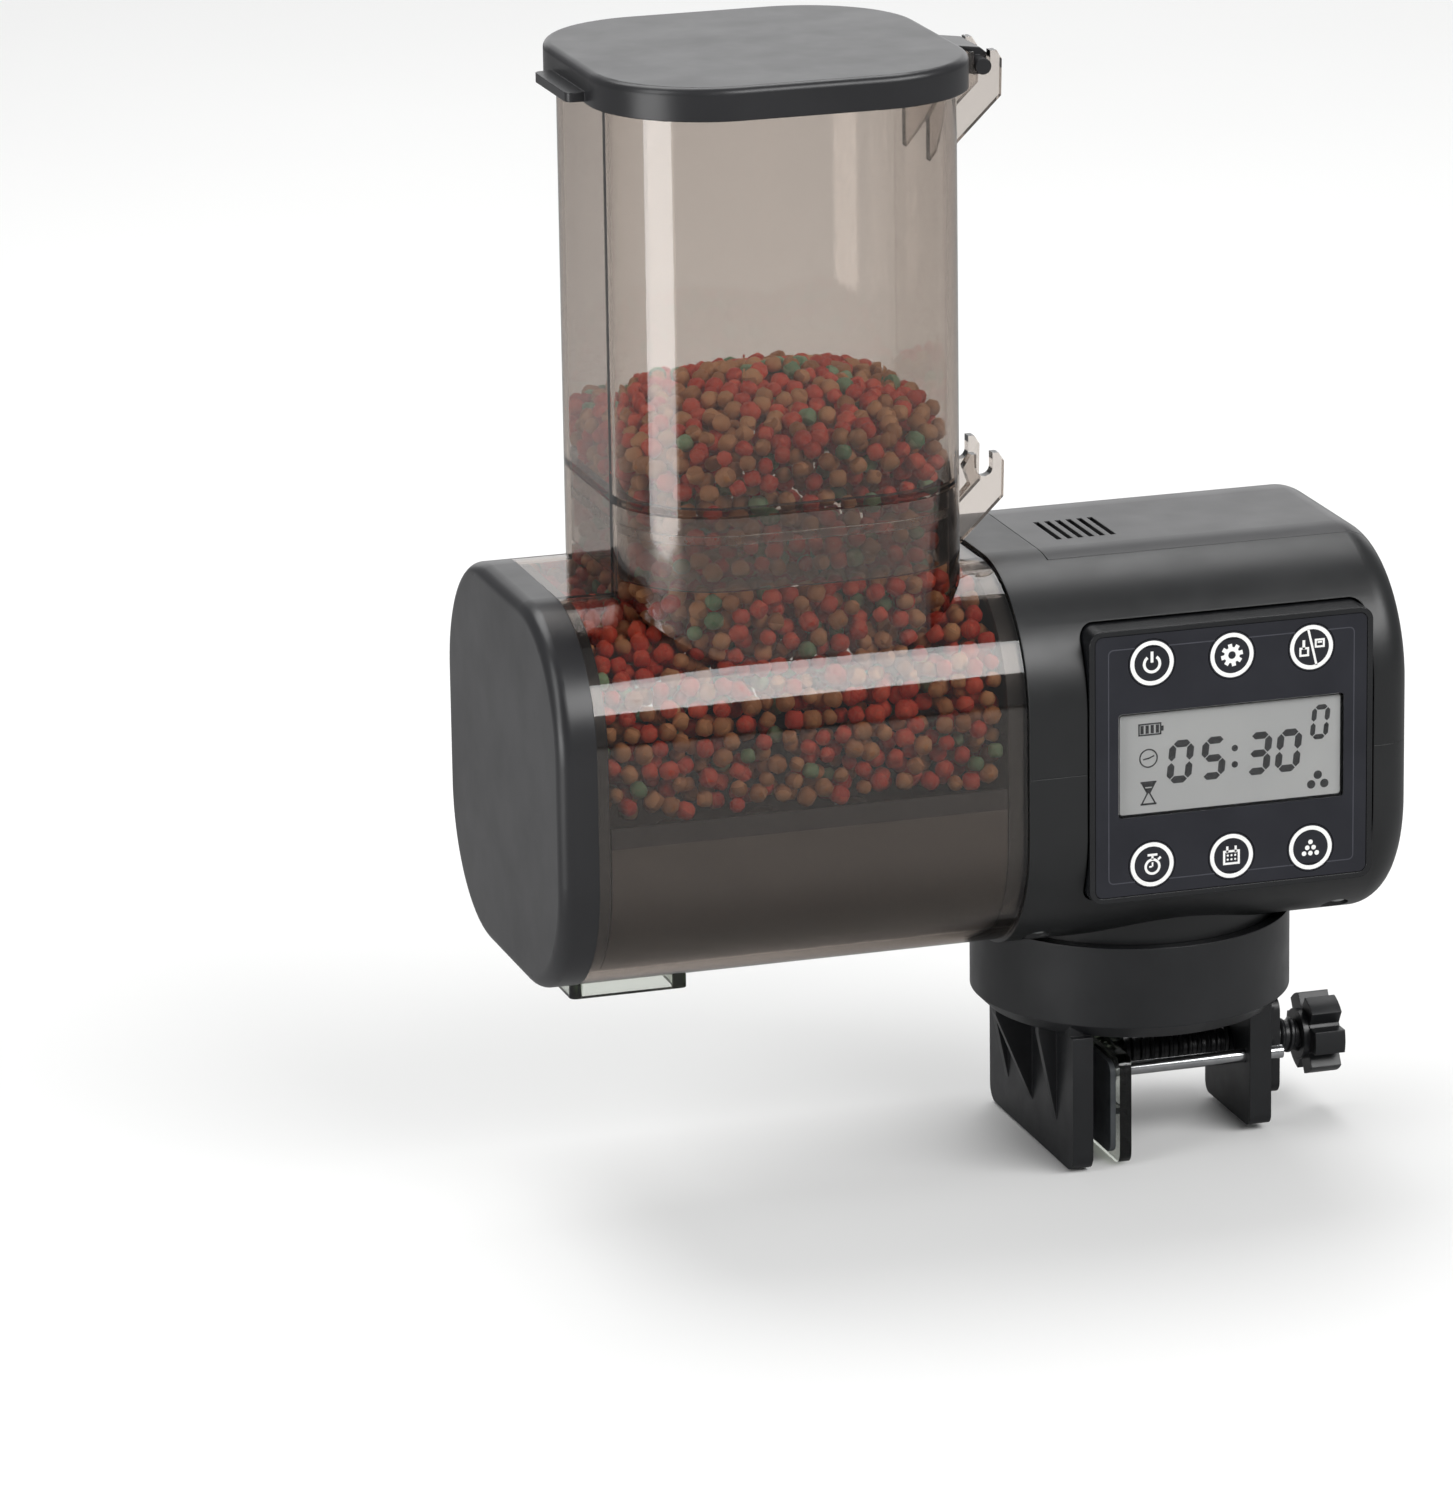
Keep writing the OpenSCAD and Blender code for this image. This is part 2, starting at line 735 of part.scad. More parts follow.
module feed_shaft() {
    color("#c9cbcc") translate([cap_x + wall + 1.2, 0, axis_z]) rotate([0, 90, 0])
        cylinder(r = shaft_r, h = plate_x + plate_t + 1 - cap_x - wall - 1.2);
}

// Helical flight swept round a hollow core
module feed_screw() {
    x0 = trough_x0 + 1.2;
    x1 = joint_x - plug_len - 0.8;
    turns = (x1 - x0 - 3) / flight_pitch;
    per_turn = 32;
    rings = floor(turns * per_turn);
    inner = shaft_r + 0.9;
    function ring(i) = let(a = i / per_turn * 360, x = i / per_turn * flight_pitch) [
        for (q = [[inner, 0], [flight_r, 0.5], [flight_r, 1.7], [inner, 2.2]])
            [q[0] * cos(a), q[0] * sin(a), x + q[1]]
    ];
    points = [for (i = [0 : rings], p = ring(i)) p];
    function pair(a, b) = [[a, b, b + 4], [a, b + 4, a + 4]];
    sides = [for (i = [0 : rings - 1], k = [0 : 3], t = pair(4 * i + k, 4 * i + (k + 1) % 4)) t];
    color("#e4e1d8") translate([x0, 0, axis_z]) rotate([90, 0, 90]) {
        translate([0, 0, 0.4]) polyhedron(points, concat([[3, 2, 1, 0]], sides,
            [[4 * rings, 4 * rings + 1, 4 * rings + 2, 4 * rings + 3]]));
        difference() {
            cylinder(r = inner + 0.6, h = x1 - x0);
            translate([0, 0, -1]) cylinder(r = shaft_r, h = x1 - x0 + 2);
        }
    }
}

module shaft_seal() {
    color("#8f9296") translate([joint_x - plug_len + 0.1, 0, axis_z]) rotate([0, 90, 0]) difference() {
        cylinder(r = 4.3, h = 1.4);
        translate([0, 0, -1]) cylinder(r = shaft_r + run_gap, h = 4);
    }
}

module end_bush() {
    color("#d9d7cf") translate([cap_x + wall, 0, axis_z]) rotate([0, 90, 0]) difference() {
        union() {
            cylinder(r = bush_r, h = cap_len - wall + 1.6);
            translate([0, 0, cap_len - wall + 0.6]) cylinder(r = bush_r + 1.2, h = 1);
        }
        translate([0, 0, 0.8]) cylinder(r = shaft_r + run_gap, h = cap_len + 5);
    }
}

// ---------- drum ----------

module drum_shell() {
    color("#8a8078", 0.45) difference() {
        union() {
            along_x(drum_x, drum_len) body_outline();
            translate([0, 0, body_z]) linear_extrude(neck_z - body_z) hopper_outline();
            for (s = [-1, 1]) hinge_hook(neck_z, s);
        }
        along_x(drum_x - 1, drum_len + 2) body_outline(wall);
        translate([0, 0, body_z - 1]) linear_extrude(neck_z - body_z + 2) hopper_outline(wall);
        translate([outlet_x - outlet_w / 2 - fit, -outlet_w / 2 - fit, base_z - 1])
            cube([outlet_w + 2 * fit, outlet_w + 2 * fit, wall + 2]);
    }
}

// Liner that follows the drum, with sloping floors down to the feed screw
module feed_trough() {
    liner = wall + 0.3;
    skin = 1.6;
    top = body_z - 1.5;
    half = body_w / 2 - liner - skin;
    module hollow(t) {
        translate([0, axis_z]) circle(pipe_r + t);
        polygon([
            [-pipe_r - t, axis_z], [pipe_r + t, axis_z],
            [half + skin, top - 8 - t * 1.3], [half + skin, top + 1],
            [-half - skin, top + 1], [-half - skin, top - 8 - t * 1.3]
        ]);
    }
    module below_top() {
        intersection() {
            children();
            translate([-body_w, base_z]) square([2 * body_w, top - base_z]);
        }
    }
    color("#17181a") difference() {
        along_x(trough_x0, trough_x1 - trough_x0) below_top() difference() {
            body_outline(liner);
            intersection() {
                body_outline(liner + skin);
                hollow(0);
            }
            // The space between the liner and the sloping floors is open
            difference() {
                body_outline(liner + skin);
                hollow(skin);
            }
        }
        translate([outlet_x - outlet_w / 2 - 0.4, -outlet_w / 2 - 0.4, base_z - 1])
            cube([outlet_w + 0.8, outlet_w + 0.8, axis_z - base_z]);
    }
}

module outlet_chute() {
    lip = 1;
    color("#8a8078", 0.45) difference() {
        union() {
            translate([outlet_x, 0, base_z - chute_drop]) linear_extrude(chute_drop)
                rounded_rect(chute_w, chute_w, 1.5);
            translate([outlet_x, 0, base_z - eps]) linear_extrude(wall + eps)
                rounded_rect(outlet_w, outlet_w, 0.8);
        }
        translate([outlet_x, 0, base_z - chute_drop - 1]) linear_extrude(chute_drop + wall + 2)
            rounded_rect(outlet_w - 2 * lip, outlet_w - 2 * lip, 0.5);
    }
}

module end_cap() {
    collar = wall + fit;
    color("#202124") difference() {
        union() {
            translate([drum_x, 0, body_z]) rotate([90, 0, -90])
                pillow(body_w, body_h, body_r, cap_len, cap_round);
            along_x(drum_x - eps, 2.8) body_outline(collar);
        }
        along_x(cap_x + wall, cap_len + 8) difference() {
            body_outline(collar + 1.8);
            translate([0, axis_z]) circle(bush_r + 2);
        }
        translate([drum_x + 0.6, -8, axis_z - 8]) cube([10, 16, 16]);
        translate([cap_x + wall, 0, axis_z]) rotate([0, 90, 0]) cylinder(r = bush_r, h = 20);
        translate([drum_x, -chute_w / 2, base_z]) cube([10, chute_w, 12]);
    }
}

// ---------- hopper ----------

module hopper_tank() {
    inner = wall + plug_gap;
    color("#8a8078", 0.45) difference() {
        union() {
            translate([0, 0, neck_z + 0.05]) linear_extrude(hopper_h - 0.05) hopper_outline();
            translate([0, 0, neck_z - plug_depth]) linear_extrude(plug_depth + 1)
                hopper_outline(inner);
            for (s = [-1, 1]) hinge_hook(rim_z, s);
        }
        translate([0, 0, neck_z + 1.5]) linear_extrude(hopper_h) hopper_outline(wall);
        translate([0, 0, neck_z - plug_depth - 1]) linear_extrude(plug_depth + 6)
            hopper_outline(inner + 1.8);
        // Groove for the seal
        hopper_tube(neck_z - 6.2, neck_z - 4.2, inner - 1, inner + 0.9);
    }
}

module neck_seal() {
    inner = wall + plug_gap;
    color("#303236") hopper_tube(neck_z - 6.1, neck_z - 4.3, inner - plug_gap + 0.05, inner + 0.8);
}

module hopper_lid() {
    top = rim_z + lid_rise;
    grow = lid_wall + lid_gap;
    knuckle = hook_half - hook_t / 2 - 0.45;
    pz = rim_z - hinge_drop;
    lid_right = hopper_x + lid_w / 2;
    color("#2c2d30") {
        difference() {
            translate([hopper_x, 0, rim_z - lid_skirt])
                pillow(lid_w, lid_d, hopper_r + grow, lid_rise + lid_skirt, 1.6);
            translate([0, 0, rim_z - lid_skirt - 1]) linear_extrude(lid_skirt + 1 + 0.05)
                hopper_outline(-lid_gap);
            translate([0, 0, rim_z]) linear_extrude(lid_rise - 1.8) hopper_outline(wall + lid_gap + 1.4);
        }
        // Rib that stands inside the rim
        hopper_tube(rim_z - 2.6, rim_z + lid_rise - 1.8, wall + lid_gap, wall + lid_gap + 1.4);
        // Lift tab opposite the hinge
        translate([hopper_x - lid_w / 2 + 1 - lid_gap, 0, rim_z - lid_skirt + 0.4]) linear_extrude(2)
            translate([-1.6, 0]) rounded_rect(5.4, tab_w, 1.6);
        // Knuckle between the hooks, and the pin that drops into them
        difference() {
            along_y(-knuckle, 2 * knuckle) polygon([
                [lid_right - 0.6, rim_z - lid_skirt + 0.4], [hinge_x - 1, pz - 2.2],
                [hinge_x + 2.2, pz - 2], [hinge_x + 2.2, pz + 2], [hinge_x + 0.5, pz + 3.4],
                [lid_right - 0.6, rim_z + lid_rise - 1.7]
            ]);
        }
        translate([hinge_x, hook_half + hook_t / 2 + 0.9, pz]) rotate([90, 0, 0])
            cylinder(d = hinge_pin_d, h = 2 * hook_half + hook_t + 1.8);
    }
}

// ---------- control panel ----------

module panel_outline(inset, r) {
    translate([panel_x, panel_z])
        rounded_rect(panel_w - 2 * inset, panel_h - 2 * inset, r);
}

// Where the six keys stand, left to right along the upper row, then the lower
function key_spot(i) = [
    panel_x + (i % 3 - 1) * key_pitch,
    panel_z + (i < 3 ? key_row : -key_row)
];

module key_holes(r) {
    for (i = [0 : 5]) translate(key_spot(i)) circle(r);
}

module display_window(shrink, r) {
    translate([panel_x, panel_z])
        rounded_rect(lcd_w - 2 * shrink, lcd_h - 2 * shrink, r);
}

module panel_bezel() {
    color("#1e1f22") difference() {
        along_y(panel_y, bezel_depth) panel_outline(0, 3);
        // Recess that the overlay lies in
        along_y(panel_y - 1, recess + 1) panel_outline(overlay_inset, 1.8);
        along_y(panel_y - 1, bezel_depth) {
            key_holes(key_d / 2 + key_gap);
            display_window(ledge, 0.6);
        }
        // Hollow behind the front
        along_y(panel_y + bezel_front, bezel_depth) panel_outline(bezel_wall, 1.6);
    }
}

module panel_overlay() {
    color("#2a2c33") along_y(panel_y + 0.1, overlay_t) difference() {
        panel_outline(overlay_inset + 0.15, 1.6);
        key_holes(key_d / 2 + key_gap);
        display_window(0, 0.8);
    }
}

module display_lens() {
    color("#aeb2ae", 0.6) along_y(panel_y + 0.12, overlay_t - 0.02) display_window(0.1, 0.7);
}

module display_module() {
    y0 = panel_y + bezel_front + 0.1;
    color("#a5a5a5") {
        along_y(y0, board_y - y0 - 0.05) display_window(-1, 0.6);
        // The cell's face stands in the bezel's window, just behind the lens
        along_y(panel_y + recess + 0.05, bezel_front) display_window(ledge + 0.15, 0.6);
    }
}

module key_mat() {
    color("#56595e") {
        along_y(mat_y + dome_h, mat_t) difference() {
            panel_outline(3.2, 1);
            display_window(-1.4, 0.6);
        }
        along_y(mat_y, dome_h + eps) key_holes(2.4);
    }
}

module control_board() {
    color("#1f5a34") {
        along_y(board_y, board_t) panel_outline(3, 1);
        along_y(board_y + board_t - eps, 1.4) {
            translate([panel_x - 8, panel_z - 4]) square([9, 9]);
            translate([panel_x + 12, panel_z - 16]) square([8, 5]);
            translate([panel_x - 22, panel_z + 10]) square([6, 10]);
        }
    }
}

module key(i) {
    spot = key_spot(i);
    color("#2a2c33") {
        along_y(panel_y + 0.08, key_flange_y - panel_y) translate(spot) circle(key_d / 2);
        along_y(key_flange_y, key_flange_t) translate(spot) circle(key_d / 2 + key_lip);
        along_y(key_flange_y + key_flange_t - eps, key_stem) translate(spot) circle(1.8);
    }
}

module key_power() { key(0); }
module key_settings() { key(1); }
module key_mode() { key(2); }
module key_timer() { key(3); }
module key_schedule() { key(4); }
module key_portion() { key(5); }

// ---------- batteries ----------

module cell_rows() {
    for (i = [-1 : 1]) translate([0, i * cell_pitch, tray_top - 0.6 - cell_d / 2]) children();
}

module battery_tray() {
    color("#1b1c1e") difference() {
        union() {
            translate([tray_x - tray_len / 2, -tray_w / 2, tray_top - tray_h])
                cube([tray_len, tray_w, tray_h]);
            // Flange that rests on the deck
            translate([tray_x - tray_len / 2 - 1.5, -tray_w / 2 - 1.4, tray_top - flange_t])
                cube([tray_len + 3, tray_w + 2.8, flange_t]);
        }
        difference() {
            translate([
                tray_x - tray_len / 2 + tray_wall, -tray_w / 2 + tray_wall, tray_top - tray_h + tray_wall
            ]) cube([tray_len - 2 * tray_wall, tray_w - 2 * tray_wall, tray_h]);
            // Low saddles between the cells
            for (s = [-1, 1], u = [-1, 1]) translate([
                tray_x + u * cell_len * 0.28 - 1, s * cell_pitch / 2 - 3, tray_top - tray_h
            ]) cube([2, 6, tray_wall + 3]);
        }
        cell_rows() translate([tray_x - cell_len / 2 - 0.2, 0, 0]) rotate([0, 90, 0])
            cylinder(d = cell_d + 0.3, h = cell_len + 0.4);
    }
}

module battery_cells() {
    color("#3b6e4f") cell_rows() translate([tray_x - cell_len / 2, 0, 0]) rotate([0, 90, 0]) {
        cylinder(d = cell_d, h = cell_len - 1.2);
        cylinder(r = 2.6, h = cell_len);
    }
}

// A plate at one end of each cell and a coil at the other
module battery_contacts() {
    end = cell_len / 2 + 3;
    color("#c9cbcc") cell_rows() {
        for (u = [-1, 1]) translate([tray_x + u * (end - 0.25) - 0.25, -5, -5]) cube([0.5, 10, 10]);
        for (k = [0 : 2]) translate([tray_x - cell_len / 2 - 2.4 + k * 0.8, 0, 0]) rotate([0, 90, 0])
            rotate_extrude() translate([4.4 - k * 0.9, 0]) circle(0.42, $fn = 16);
    }
}

module battery_door() {
    grooves = 6;
    color("#303134") difference() {
        door_shape(0);
        // Grooves for the thumb
        for (i = [0 : grooves - 1]) translate([
            door_x + groove_from + i * groove_pitch, groove_y, crown_z + housing_proud - 1.1
        ]) cube([1.2, groove_len, 3]);
    }
}

clamp_body();
pressure_plate();
pressure_pad();
guide_rods();
clamp_screw();
clamp_knob();
swivel_washer();
swivel_screw();
housing_lower();
housing_upper();
housing_screws();
bulkhead();
gear_plate();
gear_motor();
motor_screws();
motor_pinion();
feed_gear();
feed_shaft();
feed_screw();
shaft_seal();
end_bush();
drum_shell();
feed_trough();
outlet_chute();
end_cap();
hopper_tank();
neck_seal();
hopper_lid();
panel_bezel();
panel_overlay();
display_lens();
display_module();
key_mat();
control_board();
key_power();
key_settings();
key_mode();
key_timer();
key_schedule();
key_portion();
battery_tray();
battery_cells();
battery_contacts();
battery_door();
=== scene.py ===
"""Looks of the clip-on fish feeder: a finish for every moulding and metal part, the pellet food
in the hopper and the drum, the printed keys, the display's segments, the screw threads and the
screw heads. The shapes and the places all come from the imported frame. Sizes are in millimetres
unless a line says otherwise."""
import json
import math

import bmesh
import bpy
from mathutils import Matrix, Vector

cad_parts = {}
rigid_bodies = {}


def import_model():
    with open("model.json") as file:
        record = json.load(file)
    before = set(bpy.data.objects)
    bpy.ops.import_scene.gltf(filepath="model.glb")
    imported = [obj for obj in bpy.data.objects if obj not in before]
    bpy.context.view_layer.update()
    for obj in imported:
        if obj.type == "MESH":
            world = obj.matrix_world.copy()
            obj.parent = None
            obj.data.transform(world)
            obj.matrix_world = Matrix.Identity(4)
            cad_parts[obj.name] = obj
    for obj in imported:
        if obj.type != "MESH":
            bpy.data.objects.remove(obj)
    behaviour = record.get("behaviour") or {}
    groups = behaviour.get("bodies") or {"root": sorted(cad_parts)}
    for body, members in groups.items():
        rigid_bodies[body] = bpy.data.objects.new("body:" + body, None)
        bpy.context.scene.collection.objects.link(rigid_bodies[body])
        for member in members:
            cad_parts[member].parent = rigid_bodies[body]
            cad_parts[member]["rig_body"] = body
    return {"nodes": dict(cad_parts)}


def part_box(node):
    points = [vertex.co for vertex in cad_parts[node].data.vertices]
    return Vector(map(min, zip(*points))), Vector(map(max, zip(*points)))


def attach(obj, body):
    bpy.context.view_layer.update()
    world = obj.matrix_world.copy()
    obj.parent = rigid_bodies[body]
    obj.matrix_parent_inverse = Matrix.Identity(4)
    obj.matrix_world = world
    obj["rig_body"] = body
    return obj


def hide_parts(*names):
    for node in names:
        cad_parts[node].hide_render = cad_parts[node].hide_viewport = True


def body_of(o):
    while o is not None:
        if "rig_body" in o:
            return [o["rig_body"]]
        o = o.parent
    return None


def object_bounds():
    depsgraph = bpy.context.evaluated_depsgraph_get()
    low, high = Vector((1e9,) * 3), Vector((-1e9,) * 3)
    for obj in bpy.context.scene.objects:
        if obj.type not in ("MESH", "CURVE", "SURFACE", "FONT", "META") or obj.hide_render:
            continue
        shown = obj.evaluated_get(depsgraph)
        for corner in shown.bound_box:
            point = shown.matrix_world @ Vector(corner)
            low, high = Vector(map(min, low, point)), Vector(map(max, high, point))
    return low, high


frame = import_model()
cad_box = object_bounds()

MM = 0.001
TAU = 2 * math.pi
# A Mix node's colour inputs and its colour output, by their places on the node
COLOUR_A, COLOUR_B, COLOUR_OUT = 6, 7, 2
# Noise spreads round 0.5, and nearly all of it lies between these two values
NOISE_SPAN = {"From Min": 0.3, "From Max": 0.7}
scene = bpy.context.scene


# ---------- small helpers ----------

def linear(hex_code):
    """An sRGB hex colour as linear RGBA."""
    parts = [int(hex_code[i:i + 2], 16) / 255 for i in (1, 3, 5)]
    return [p / 12.92 if p <= 0.04045 else ((p + 0.055) / 1.055) ** 2.4 for p in parts] + [1.0]


def add(tree, kind, inputs=None, **settings):
    """Adds a node, gives it its settings, and sets or links its inputs."""
    made = tree.nodes.new(kind)
    for name, value in settings.items():
        setattr(made, name, value)
    for key, value in (inputs or {}).items():
        if isinstance(value, bpy.types.NodeSocket):
            tree.links.new(value, made.inputs[key])
        else:
            made.inputs[key].default_value = value
    return made


def new_material(name):
    """A material with nothing in it yet, and its node tree."""
    made = bpy.data.materials.new(name)
    made.use_nodes = True
    made.node_tree.nodes.clear()
    return made, made.node_tree


def new_object(name, data):
    """An object at the origin that holds the given mesh, light or camera."""
    made = bpy.data.objects.new(name, data)
    scene.collection.objects.link(made)
    return made


def drop(*things):
    """Removes objects that only helped to make others."""
    for thing in things:
        bpy.data.objects.remove(thing)


def mesh_piece(name, bm, finish, smooth_angle=None):
    """Turns a bmesh into a piece with one finish, its faces pointing outwards."""
    bmesh.ops.recalc_face_normals(bm, faces=bm.faces)
    mesh = bpy.data.meshes.new(name)
    bm.to_mesh(mesh)
    bm.free()
    if smooth_angle is not None:
        mesh.shade_smooth()
        mesh.set_sharp_from_angle(angle=math.radians(smooth_angle))
    mesh.materials.append(finish)
    return new_object(name, mesh)


def loft(bm, loops, closed=True):
    """Joins loops of points with faces and returns their vertices."""
    rows = [[bm.verts.new([c * MM for c in p]) for p in loop] for loop in loops]
    count = len(rows[0])
    for low, high in zip(rows, rows[1:]):
        for i in range(count if closed else count - 1):
            j = (i + 1) % count
            bm.faces.new((low[i], low[j], high[j], high[i]))
    return rows


def loft_rod(bm, start, end, radius, sides=24, chamfer=0.3):
    """A rod between two points with its ends chamfered."""
    start, end = Vector(start), Vector(end)
    along = (end - start).normalized()
    side = along.orthogonal().normalized()
    other = along.cross(side)
    rings = []
    for point, r in ((start, radius - chamfer), (start + along * chamfer, radius),
                     (end - along * chamfer, radius), (end, radius - chamfer)):
        rings.append([point + r * (side * math.cos(TAU * i / sides)
                                   + other * math.sin(TAU * i / sides)) for i in range(sides)])
    rows = loft(bm, rings)
    bm.faces.new(list(reversed(rows[0])))
    bm.faces.new(rows[-1])


def rounded(w, d, r, steps=10):
    """Points round a rounded rectangle about 0, 0, anticlockwise from the +X side."""
    loop = []
    for cx, cy, start in ((1, 1, 0), (-1, 1, 1), (-1, -1, 2), (1, -1, 3)):
        for i in range(steps + 1):
            a = (start + i / steps) * math.pi / 2
            loop.append((cx * (w / 2 - r) + r * math.cos(a), cy * (d / 2 - r) + r * math.sin(a)))
    return loop


def box_mm(node):
    """A CAD node's lowest and highest corners."""
    low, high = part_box(node)
    return low / MM, high / MM


tank_low, tank_high = box_mm("hopper_tank")
cap_low, cap_high = box_mm("end_cap")
seal_top = box_mm("neck_seal")[1].z
trough_top = box_mm("feed_trough")[1].z
bulkhead_x = box_mm("bulkhead")[0].x


# ---------- finishes ----------

def drift(tree, size, detail=3.0, rough=0.55, stretch=(1, 1, 1)):
    """Noise in object space whose patches are about size across."""
    place = add(tree, "ShaderNodeTexCoord").outputs["Object"]
    sized = add(tree, "ShaderNodeMapping", {"Vector": place, "Scale": stretch})
    return add(tree, "ShaderNodeTexNoise", {
        "Vector": sized.outputs[0], "Scale": 1 / (size * MM), "Detail": detail,
        "Roughness": rough,
    }).outputs["Fac"]


def opaque(name, dark, light, patch, rough, grain, edge=0.0, stretch=(1, 1, 1), band=None,
           **surface):
    """A solid finish: two shades that drift over patch, a roughness that drifts between two
    values, a grain with a size and a depth, and edges that catch the light over edge. band is
    a height and the colour above it."""
    made, tree = new_material(name)
    shade = add(tree, "ShaderNodeMix", {
        "Factor": add(tree, "ShaderNodeMapRange", {
            "Value": drift(tree, patch), **NOISE_SPAN}).outputs[0],
        COLOUR_A: linear(dark), COLOUR_B: linear(light),
    }, data_type="RGBA")
    if band:
        height, above = band
        place = add(tree, "ShaderNodeTexCoord").outputs["Object"]
        over = add(tree, "ShaderNodeMath", {
            0: add(tree, "ShaderNodeSeparateXYZ", {0: place}).outputs["Z"], 1: height * MM,
        }, operation="GREATER_THAN")
        shade = add(tree, "ShaderNodeMix", {
            "Factor": over.outputs[0], COLOUR_A: shade.outputs[COLOUR_OUT],
            COLOUR_B: linear(above)}, data_type="RGBA")
    # The gloss changes over less than half the distance that the colour does
    gloss = add(tree, "ShaderNodeMapRange", {
        "Value": drift(tree, patch * 0.4, stretch=stretch), **NOISE_SPAN,
        "To Min": rough[0], "To Max": rough[1],
    })
    grain_size, grain_depth = grain
    bump = add(tree, "ShaderNodeBump", {
        "Height": drift(tree, grain_size, 2.0, stretch=stretch), "Distance": grain_depth * MM,
        "Strength": 1.0,
    })
    if edge:
        soft = add(tree, "ShaderNodeBevel", {"Radius": edge * MM}, samples=4)
        tree.links.new(soft.outputs[0], bump.inputs["Normal"])
    shader = add(tree, "ShaderNodeBsdfPrincipled", {
        "Base Color": shade.outputs[COLOUR_OUT], "Roughness": gloss.outputs[0],
        "Normal": bump.outputs[0], **surface,
    })
    add(tree, "ShaderNodeOutputMaterial", {"Surface": shader.outputs[0]})
    return made


def clear(name, passes, wall, rough, ior, haze):
    """A clear moulding, of which a thickness of wall lets through the given share of each
    colour. Lamps reach what is inside, and faint flow marks haze apart break up the
    reflections."""
    made, tree = new_material(name)
    gloss = add(tree, "ShaderNodeMapRange", {
        "Value": drift(tree, haze), "From Min": 0.35, "From Max": 0.7,
        "To Min": rough[0], "To Max": rough[1],
    })
    bump = add(tree, "ShaderNodeBump", {
        "Height": drift(tree, haze * 0.5, 1.0), "Distance": 0.02 * MM, "Strength": 0.6,
    })
    glass = add(tree, "ShaderNodeBsdfPrincipled", {
        "Base Color": (1, 1, 1, 1), "Roughness": gloss.outputs[0], "IOR": ior,
        "Transmission Weight": 1.0, "Normal": bump.outputs[0],
    })
    lamp_way = add(tree, "ShaderNodeBsdfTransparent", {"Color": (1, 1, 1, 1)})
    path = add(tree, "ShaderNodeLightPath")
    mixed = add(tree, "ShaderNodeMixShader", {
        0: path.outputs["Is Shadow Ray"], 1: glass.outputs[0], 2: lamp_way.outputs[0]})
    # What each colour loses per metre, as one density and the share of it that is taken. The
    # density is a little above the greatest loss, so that no share reaches 1
    lost = [-math.log(p) / (wall * MM) for p in passes]
    density = max(lost) * 1.05
    depth = add(tree, "ShaderNodeVolumeAbsorption", {
        "Color": [1 - v / density for v in lost] + [1.0], "Density": density})
    add(tree, "ShaderNodeOutputMaterial", {
        "Surface": mixed.outputs[0], "Volume": depth.outputs[0]})
    return made


def food(name, dark, light):
    """Extruded feed: dry and matt, pitted, its shade changing from pellet to pellet."""
    made, tree = new_material(name)
    place = add(tree, "ShaderNodeTexCoord").outputs["Object"]
    # Cells a little larger than one pellet give neighbours different shades
    cells = add(tree, "ShaderNodeTexVoronoi", {"Vector": place, "Scale": 1 / (4.6 * MM)})
    share = add(tree, "ShaderNodeSeparateColor", {"Color": cells.outputs["Color"]})
    shade = add(tree, "ShaderNodeMix", {
        "Factor": share.outputs[0], COLOUR_A: linear(dark), COLOUR_B: linear(light),
    }, data_type="RGBA")
    # Pits of 0.7 mm, a quarter of a millimetre deep, with pale dust between them
    pits = drift(tree, 0.7, 4.0, 0.65)
    dusty = add(tree, "ShaderNodeMix", {
        "Factor": add(tree, "ShaderNodeMapRange", {
            "Value": pits, "From Min": 0.45, "From Max": 0.75, "To Max": 0.3}).outputs[0],
        COLOUR_A: shade.outputs[COLOUR_OUT], COLOUR_B: linear("#C9A483"),
    }, data_type="RGBA")
    bump = add(tree, "ShaderNodeBump", {"Height": pits, "Distance": 0.25 * MM, "Strength": 0.8})
    shader = add(tree, "ShaderNodeBsdfPrincipled", {
        "Base Color": dusty.outputs[COLOUR_OUT], "Roughness": 0.62, "Normal": bump.outputs[0]})
    add(tree, "ShaderNodeOutputMaterial", {"Surface": shader.outputs[0]})
    return made


# Black ABS, moulded against a finely spark-eroded tool: a satin black that goes grey where a
# lamp grazes it. The real grain is near 0.1 mm and is drawn at 0.45 mm so that it shows.
abs_satin = opaque("black_abs_spark_textured", "#161718", "#1D1E1F", patch=26,
                   rough=(0.33, 0.39), grain=(0.45, 0.005), edge=0.35, IOR=1.53)
# The same ABS from a stoned tool: the lid and the end cap, smoother, with longer highlights.
abs_stoned = opaque("black_abs_stoned_tool", "#1E1E20", "#262628", patch=34,
                    rough=(0.29, 0.35), grain=(0.8, 0.002), edge=0.4, IOR=1.53)
# ABS with a coarser texture where the fingers and the glass rub: cup, jaw, knob.
abs_clamp = opaque("black_abs_clamp_matt", "#161719", "#1E1F21", patch=18,
                   rough=(0.30, 0.40), grain=(0.5, 0.010), edge=0.35, IOR=1.53)
# Polished ABS frame round the panel: thin bright edge lines.
abs_gloss = opaque("black_abs_polished", "#121315", "#191A1C", patch=20,
                   rough=(0.16, 0.24), grain=(1.5, 0.002), edge=0.35, IOR=1.53)
# Printed polycarbonate film with a velvet face, blue-black.
overlay_film = opaque("polycarbonate_overlay_velvet", "#1D1E25", "#23242B", patch=12,
                      rough=(0.36, 0.44), grain=(0.35, 0.003), IOR=1.45)
